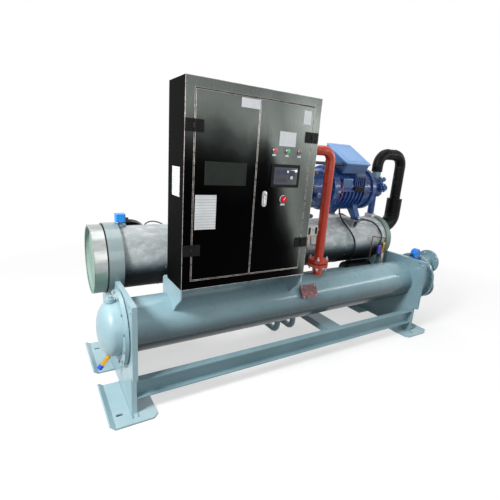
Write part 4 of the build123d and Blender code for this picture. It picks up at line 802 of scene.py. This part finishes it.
# Pipes
gas = Sizes(x=0.088, y=-0.222, half=0.0475, top=0.814, low=0.747, welds=((0.0385, 0.815), (0.0425, 0.746)))
gasSpots = [((gas.x + a * gas.half, gas.y + b * gas.half, z), way)
    for a in (-1, 1) for b in (-1, 1) for z, way in ((gas.top, toTop), (gas.low, toFloor))]
spread("gas_flange_studs", hexBolt(0.0125, 0.012, stud=0.014), gasSpots, "zinc")
dress("gas_gasket", [addRod(0.058, 0.0085, (gas.x, gas.y, 0.7805), toTop, 48, 0.001)], "rubber")
dress("gas_welds", [addRing(radius, 0.003, (gas.x, gas.y, z), toTop, 48)
        for radius, z in gas.welds], "orange")

suction = Sizes(x=1.497, y=0.19, stubX=1.137, level=1.728, tape=0.0545, sleeve=0.0795)
wraps = [(suction.tape, 0.0026, suction.x, z, toTop, 48) for z in (1.3, 1.452, 1.606)]
wraps += [(suction.tape, 0.0026, suction.stubX, z, toTop, 48) for z in (1.552, 1.604)]
wraps += [(suction.tape, 0.0026, x, suction.level, toRight, 48) for x in (1.258, 1.376)]
wraps += [(suction.sleeve, 0.0028, suction.x, z, toTop, 56) for z in (1.1, 1.264)]
dress("suction_tape", [addRing(radius, thickness, (x, suction.y, z), way, sides, 6)
        for radius, thickness, x, z, way, sides in wraps], "tape")
dress("suction_probe", [addTube([(1.448, 0.18, 1.512), (1.414, 0.176, 1.52), (1.402, 0.176, 1.486),
                (1.402, 0.176, 1.36), (1.41, 0.178, 1.29), (1.424, 0.182, 1.258)],
            0.0042)], "blackPlastic")
dress("drier_tape", [addRing(suction.sleeve, 0.0026, (x, 0.045, 0.57), toRight, 56, 6)
        for x in (0.76, 0.862, 0.964)], "tape")

# Pressure sensor box on the hot gas pipe
sensor = Sizes(front=-0.25, middle=(-0.0413, 1.068), windows=(-0.076, -0.007), pipeY=-0.222)
dress("sensor_windows", [panel((0.017, 0.012, 0.058), (x, sensor.front - 0.005, sensor.middle[1]),
            0.002, 0.003, -0.002) for x in sensor.windows], "blackPlastic")
dress("sensor_button", [addRod(0.006, 0.006, (-0.0415, sensor.front - 0.002, 1.076), toFront, 24,
            0.0015)], "redPlastic")
lidX, lidZ = sensor.middle
dress("sensor_lid", [panel((0.108, 0.004, 0.076), (lidX, sensor.front - 0.0015, lidZ), 0.0015,
            0.004, 0.0008)], "whitePlastic")
necks = []
for x in (-0.06, -0.023):
    necks.append(addRod(0.01, 0.014, (x, sensor.pipeY, 1.02), sides=6, rounding=0.001))
    necks.append(addRod(0.007, 0.016, (x, sensor.pipeY, 1.006), sides=20, rounding=0.001))
dress("sensor_nuts", necks, "brass")
sensorRuns = (((-0.06, 1.0), (-0.06, 0.955), (-0.058, 0.905), (-0.02, 0.892), (0.056, 0.892)),
    ((-0.023, 1.0), (-0.023, 0.975), (-0.021, 0.945), (0.004, 0.937), (0.056, 0.937)))
dress("sensor_tubes", [addTube([(x, sensor.pipeY, z) for x, z in run], 0.0042)
        for run in sensorRuns], "copper")
print("pipes done")

# Flow switch: its gland points back along the unit
flow = Sizes(x=1.347, y=-0.28, z=0.773, face=-0.309, screwCircle=0.0405, glandZ=0.76)
glandRods = ((0.0125, 0.012, 1.2945, 6, 0.001), (0.0105, 0.018, 1.2805, 24, 0.003),
    (0.0048, 0.03, 1.262, 16, 0.002))
dress("flow_gland", [addRod(radius, length, (x, flow.y, flow.glandZ), toLeft, sides, rounding)
        for radius, length, x, sides, rounding in glandRods], "blackPlastic")
spread("flow_screws", panScrew(0.0035),
    circleSpots(4, flow.screwCircle, (flow.x, flow.face, flow.z), toFront, 45), "zinc")

# Service valve
service = Sizes(x=1.112, y=-0.062, coilX=1.052)
spread("coil_nut", hexBolt(0.009, 0.007), [((service.coilX, service.y, 0.8195), toTop)], "zinc")
dress("service_cap", [addRod(0.0185, 0.022, (service.x, service.y, 0.8415), toTop, 24, 0.003),
        addRing(0.018, 0.0015, (service.x, service.y, 0.8335), toTop, 32, 6)], "brass")
print("valves done")

# Cabinet: folded edges that catch the light, and what sits on the doors
doors = {"left": (-1.173, -0.7665), "right": (-0.7615, -0.355), "low": 0.865, "high": 1.947,
    "front": -0.488, "sealInset": 0.016}


def frameBeads(left, right, low, high, inset, y, radius):
    # four bars round an opening, its sides moved in by inset
    left, right, low, high = left + inset, right - inset, low + inset, high - inset
    corners = [(left, y, low), (right, y, low), (right, y, high), (left, y, high), (left, y, low)]
    return [addTube(corners[side:side + 2], radius, smooth=False, sides=2) for side in range(4)]


outline = (cabinet.left, cabinet.right, cabinet.bottom, cabinet.top)
opening = (cabinet.openLeft, cabinet.openRight, cabinet.openLow, cabinet.openHigh)
dress("cabinet_folds", frameBeads(*outline, 0.001, cabinet.front + 0.001, 0.0018), "trim")
dress("opening_folds", frameBeads(*opening, -0.0008, cabinet.front + 0.0006, 0.0013), "trim")
for side in ("left", "right"):
    dress(f"{side}_door_folds", frameBeads(*doors[side], doors["low"], doors["high"], 0.0012,
            doors["front"] + 0.0008, 0.0016), "trim", f"{side}_door")
for side in ("left", "right"):
    left, right = doors[side]
    dress(f"{side}_door_seal", frameBeads(left, right, doors["low"], doors["high"],
            doors["sealInset"], -0.4655, 0.005), "rubber", f"{side}_door")
    stiffeners = [panel((0.04, 0.014, 0.92), (x, -0.461, 1.406), 0.003, 0.009, -0.006, toBack)
        for x in (left + 0.06, right - 0.06)]
    stiffeners += [panel((right - left - 0.17, 0.012, 0.034), ((left + right) / 2, -0.462, z),
            0.003, 0.008, -0.005, toBack) for z in (0.96, 1.852)]
    dress(f"{side}_door_channels", stiffeners, "galvanised", f"{side}_door")

# Bare sheets stuck on: plain, ruled or pale, with nothing on them
sheets = (
    ("left_door_sheet", "left_door", (0.135, 0.204), (-1.0935, 1.279), "paper"),
    ("left_door_tag", "left_door", (0.128, 0.052), (-0.829, 1.9125), "plainPaper"),
    ("right_door_sheet", "right_door", (0.128, 0.088), (-0.544, 1.7355), "plainPaper"),
    ("right_door_tag", "right_door", (0.06, 0.084), (-0.402, 1.88), "plainPaper"),
)
for name, door, (width, height), (x, z), look in sheets:
    sheet = chip((width, 0.001, height), (x, doors["front"] - 0.0004, z), 0.0003)
    dress(name, [sheet], look, door)
dress("left_door_tablet", [panel((0.276, 0.0016, 0.134), (-0.97, doors["front"] - 0.0006, 1.5055),
            0.0005, 0.005, 0.0006)], "greyPlate", "left_door")
dress("side_sheet", [chip((0.001, 0.126, 0.169), (cabinet.left - 0.0004, -0.365, 1.4465), 0.0003)],
    "paper")

lamps = Sizes(y=-0.502, z=1.661, x=(-0.639, -0.54, -0.441), radius=0.0118)
for x, look in zip(lamps.x, ("redPlastic", "greenPlastic", "smokePlastic")):
    lens = addRod(lamps.radius, 0.006, (x, lamps.y, lamps.z), toFront, 32, 0.0026, 4)
    dress(f"{look[:-7]}_lens", [lens], look, "right_door")
spread("lamp_rims", addRing(0.014, 0.0016, (0, 0, 0), sides=40, small=6),
    [((x, -0.4936, lamps.z), toFront) for x in lamps.x], "chrome", "right_door")
tags = [(x, 1.6335, 0.026, 0.011) for x in lamps.x] + [(-0.54, 1.321, 0.034, 0.012)]
dress("lamp_tags", [chip((width, 0.0014, height), (x, doors["front"] - 0.0006, z))
        for x, z, width, height in tags], "plainPaper", "right_door")

# Display: a glass field with plain tiles, and a rim of its own
displayX, displayZ = display.centre[0], display.centre[2]
glassField = chip((0.186, 0.0016, 0.11), (displayX, -0.4955, displayZ))
dress("display_glass", [stepFace(glassField, toFront, 0.003, 0.0003)], "glass", "right_door")
tiles = ((-0.062, 0.022, 0.04, 0.03), (-0.012, 0.022, 0.04, 0.03),
    (0.046, 0.012, 0.05, 0.05), (-0.036, -0.026, 0.092, 0.022))
dress("display_tiles", [chip((width, 0.0006, height), (displayX + x, -0.4966, displayZ + z), 0.0002)
        for x, z, width, height in tiles], "displayBlue", "right_door")
dress("display_pilot", [addRod(0.011, 0.001, (-0.492, -0.4972, 1.497), toFront, 24, 0.0003)],
    "plainPaper", "right_door")

knob = Sizes(x=-0.54, z=1.356, front=-0.5162, turn=math.radians(40))
dress("switch_pointer", [chip((0.004, 0.0012, 0.022), (knob.x - 0.008, knob.front, knob.z + 0.0068),
            turn=(0, knob.turn, 0))], "plainPaper", "right_door")
dress("switch_plate", [stepFace(addRod(0.0265, 0.003, (knob.x, -0.4892, knob.z), toFront, 40,
                0.0008), toFront, 0.0022, -0.0006)], "plainPaper", "right_door")

lock = Sizes(x=-0.692, z=1.396, camZ=1.36)
dress("lock_handle", [addRod(0.0068, 0.006, (lock.x, -0.5035, lock.z), toFront, 24, 0.001),
        addBlock((0.0125, 0.005, 0.056), (lock.x, -0.4975, 1.3505), 0.0022, 3)], "chrome", "right_door")
# a black chip as painted shade for the keyhole
dress("lock_keyhole_shade", [chip((0.0016, 0.0016, 0.0066), (lock.x, -0.5066, lock.z))],
    "hardware", "right_door")
hinges = {"z": (1.052, 1.759), "face": -0.493, "spread": 0.019,
    "frame": ((-1.206, "unit"), (-0.322, "unit")),
    "leaf": ((-1.144, "left_door"), (-0.384, "right_door"))}
for name in ("frame", "leaf"):
    for side, (x, body) in zip(("left", "right"), hinges[name]):
        spots = [((x, hinges["face"], z + step * hinges["spread"]), toFront)
            for z in hinges["z"] for step in (-1, 1)]
        spread(f"{side}_{name}_screws", panScrew(0.0046), spots, "hardware", body)

# Behind the doors: equipment backs on the right door
backs = [panel((0.2, 0.04, 0.124), (displayX, -0.448, displayZ), 0.004, 0.012, -0.004, toBack)]
backs += [addRod(0.0125, 0.044, (x, -0.446, lamps.z), toBack, 24, 0.002) for x in lamps.x]
backs.append(addBlock((0.046, 0.052, 0.05), (knob.x, -0.442, knob.z), 0.004))
dress("door_backs", backs, "greyPlastic", "right_door")
dress("lock_cam", [addBlock((0.064, 0.004, 0.02), (-0.716, -0.458, lock.camZ), 0.002),
        addRod(0.01, 0.012, (lock.x, -0.462, lock.camZ), toBack, 20, 0.002)], "galvanised", "right_door")
loom = [addTube([(-0.54 + step, -0.43, 1.45), (-0.56 + step, -0.425, 1.4),
            (-0.64 + step, -0.448, 1.3), (-0.7, -0.45 + step, 1.16),
            (-0.724, -0.452 + step, 1.02)], 0.0036) for step in (0, 0.008, -0.008)]
dress("door_loom", loom, "blackPlastic", "right_door")

# Switchgear on the mounting plate
gear = Sizes(
    plate=-0.2475, ductMid=-0.2729, ductX=(-1.13, -0.398), ductZ=(0.895, 1.185, 1.475, 1.745, 1.925),
    slotRows=(1.185, 1.475, 1.745), contactors=(-1.02, -0.905, -0.79), lowRow=1.035, highRow=1.61)


def gearBox(x, z, width, height, depth, rounding=0.004):
    return panel((width, depth, height), (x, gear.plate - depth / 2 - 0.0004, z), rounding,
        min(width, height) * 0.16, -0.003)


ducts = [addBlock((0.772, 0.05, 0.04), (-0.764, gear.ductMid, z), 0.002) for z in gear.ductZ]
ducts += [addBlock((0.04, 0.05, 0.96), (x, gear.ductMid, 1.41), 0.002) for x in gear.ductX]
dress("cable_ducts", ducts, "greyPlastic")
# black chips along the ducts as painted shade in their slots
slotMatrices = [Matrix.Translation((-1.096 + number * 0.0155, gear.plate - 0.03, z - 0.0202))
    @ Matrix.Rotation(math.radians(90), 4, "Z") for z in gear.slotRows for number in range(44)]
slotShadeMaster = insetFaces(addBlock((0.03, 0.0055, 0.0016), (0, 0, 0)), toTop, (0.001, -0.0004))
dress("duct_slot_shade", copyTo(slotShadeMaster, slotMatrices), "blackPlastic")
dress("contactors", [gearBox(x, z, width, height, depth)
        for z, width, height, depth in ((1.33, 0.088, 0.12, 0.105), (1.235, 0.07, 0.048, 0.085))
        for x in gear.contactors], "blackPlastic")
dress("main_breaker", [gearBox(-0.59, 1.32, 0.15, 0.2, 0.1),
        addBlock((0.034, 0.026, 0.058), (-0.59, gear.plate - 0.11, 1.33), 0.004)], "greyPlastic")
dress("small_breakers", [gearBox(-1.055 + number * 0.0365, gear.highRow, 0.034, 0.086, 0.07, 0.002)
        for number in range(12)], "whitePlastic")
dress("controller", [gearBox(-0.505, gear.highRow, 0.16, 0.11, 0.06)], "greyPlastic")
dress("transformer", [gearBox(-0.505, gear.lowRow, 0.13, 0.11, 0.1, 0.006)], "redPlastic")
dress("terminals", [gearBox(-1.06 + number * 0.0158, gear.lowRow, 0.0145, 0.06, 0.05, 0.0012)
        for number in range(28)], "bluePlastic")
dress("gear_rails", [addBlock((0.64, 0.008, 0.035), (-0.8, gear.plate - 0.0046, z), 0.001)
        for z in (gear.lowRow, gear.highRow)], "galvanised")
wireRuns = (
    ((-1.045, -1.02, -0.995, -0.93, -0.905, -0.88, -0.815, -0.79, -0.765), 0.0042,
        ((0.09, 1.388), (0.104, 1.42), (0.046, 1.456)), ((0.078, 1.214), (0.08, 1.2), (0.046, 1.196))),
    ((-0.635, -0.59, -0.545), 0.0065,
        ((0.08, 1.418), (0.094, 1.44), (0.046, 1.458)), ((0.08, 1.222), (0.096, 1.205), (0.046, 1.198))),
)
dress("gear_wires", [addTube([(x, gear.plate - depth, z) for depth, z in run], radius)
        for places, radius, *runs in wireRuns for x in places for run in runs], "blackPlastic")
print("cabinet done")

# Camera, floor and light
view = Sizes(place=(-1.9574, -2.4025, 1.623), turn=(75.118, -3.968, -30.808), lens=25.728)
bpy.ops.object.camera_add(location=view.place,
    rotation=[math.radians(angle) for angle in view.turn])
camera = bpy.context.object
camera.data.lens = view.lens
camera.data.sensor_width = 36
camera.data.clip_end = 60
bpy.context.scene.camera = camera

bpy.ops.mesh.primitive_plane_add(size=40, location=(0, 0, 0))
floor = bpy.context.object
floor.name = "floor"
studio = Sizes(near=2.2, far=4.4, shown=0.9, bounced=0.12, glow=0.55, world=0.25)
white = (1, 1, 1)
floorLook = newLook("floorMaterial")
distance = floorLook.vector("LENGTH", floorLook.place)["Value"]
shown = floorLook.add("BsdfDiffuse", (studio.shown,) * 3).outputs["BSDF"]
bounced = floorLook.add("BsdfDiffuse", (studio.bounced,) * 3).outputs["BSDF"]
glow = floorLook.add("Emission", white, 1).outputs["Emission"]
faded = floorLook.mixShaders(floorLook.span(distance, studio.near, studio.far, studio.glow, 1.0),
    shown, glow)
floorLook.connect(floorLook.mixShaders(floorLook.seenDirectly(), bounced, faded),
    floorLook.tree.nodes["Material Output"].inputs["Surface"])
floorLook.tree.nodes.remove(floorLook.shader)
floor.data.materials.append(floorLook.owner)

lights = (
    ("keyLight", (-4.9, -1.5, 3.9), (1.3, 1.3), 360, (-0.9, -0.2, 0.6)),
    ("frontLight", (-1.6, -5.4, 3.0), (3.0, 3.0), 70, (-0.2, 0.0, 0.8)),
    ("stripLight", (3.9, -2.9, 2.3), (4.2, 0.45), 60, (0.3, -0.2, 0.6)),
    ("topLight", (0.3, 0.4, 5.4), (4.2, 3.0), 95, (0.2, 0.1, 0.6)),
    ("backLight", (1.5, 4.6, 3.2), (3.0, 3.0), 60, (0.0, 0.2, 0.9)),
)
for name, place, (width, height), power, aim in lights:
    bpy.ops.object.light_add(type="AREA", location=place)
    light = bpy.context.object
    light.name = name
    light.data.shape = "RECTANGLE"
    light.data.size = width
    light.data.size_y = height
    light.data.energy = power
    light.visible_camera = False
    light.rotation_euler = (Vector(aim) - Vector(place)).to_track_quat("-Z", "Y").to_euler()

world = bpy.data.worlds.new("studio")
bpy.context.scene.world = world
sky = Look(world)
surround = sky.tree.nodes["Background"]
sky.connect(white, surround.inputs["Color"])
sky.connect(studio.world, surround.inputs["Strength"])
backdrop = sky.add("Background", white, 1)
sky.connect(sky.mixShaders(sky.seenDirectly(), surround.outputs["Background"],
        backdrop.outputs["Background"]),
    sky.tree.nodes["World Output"].inputs["Surface"])
bpy.context.scene.view_settings.view_transform = "Standard"
print("stage done")
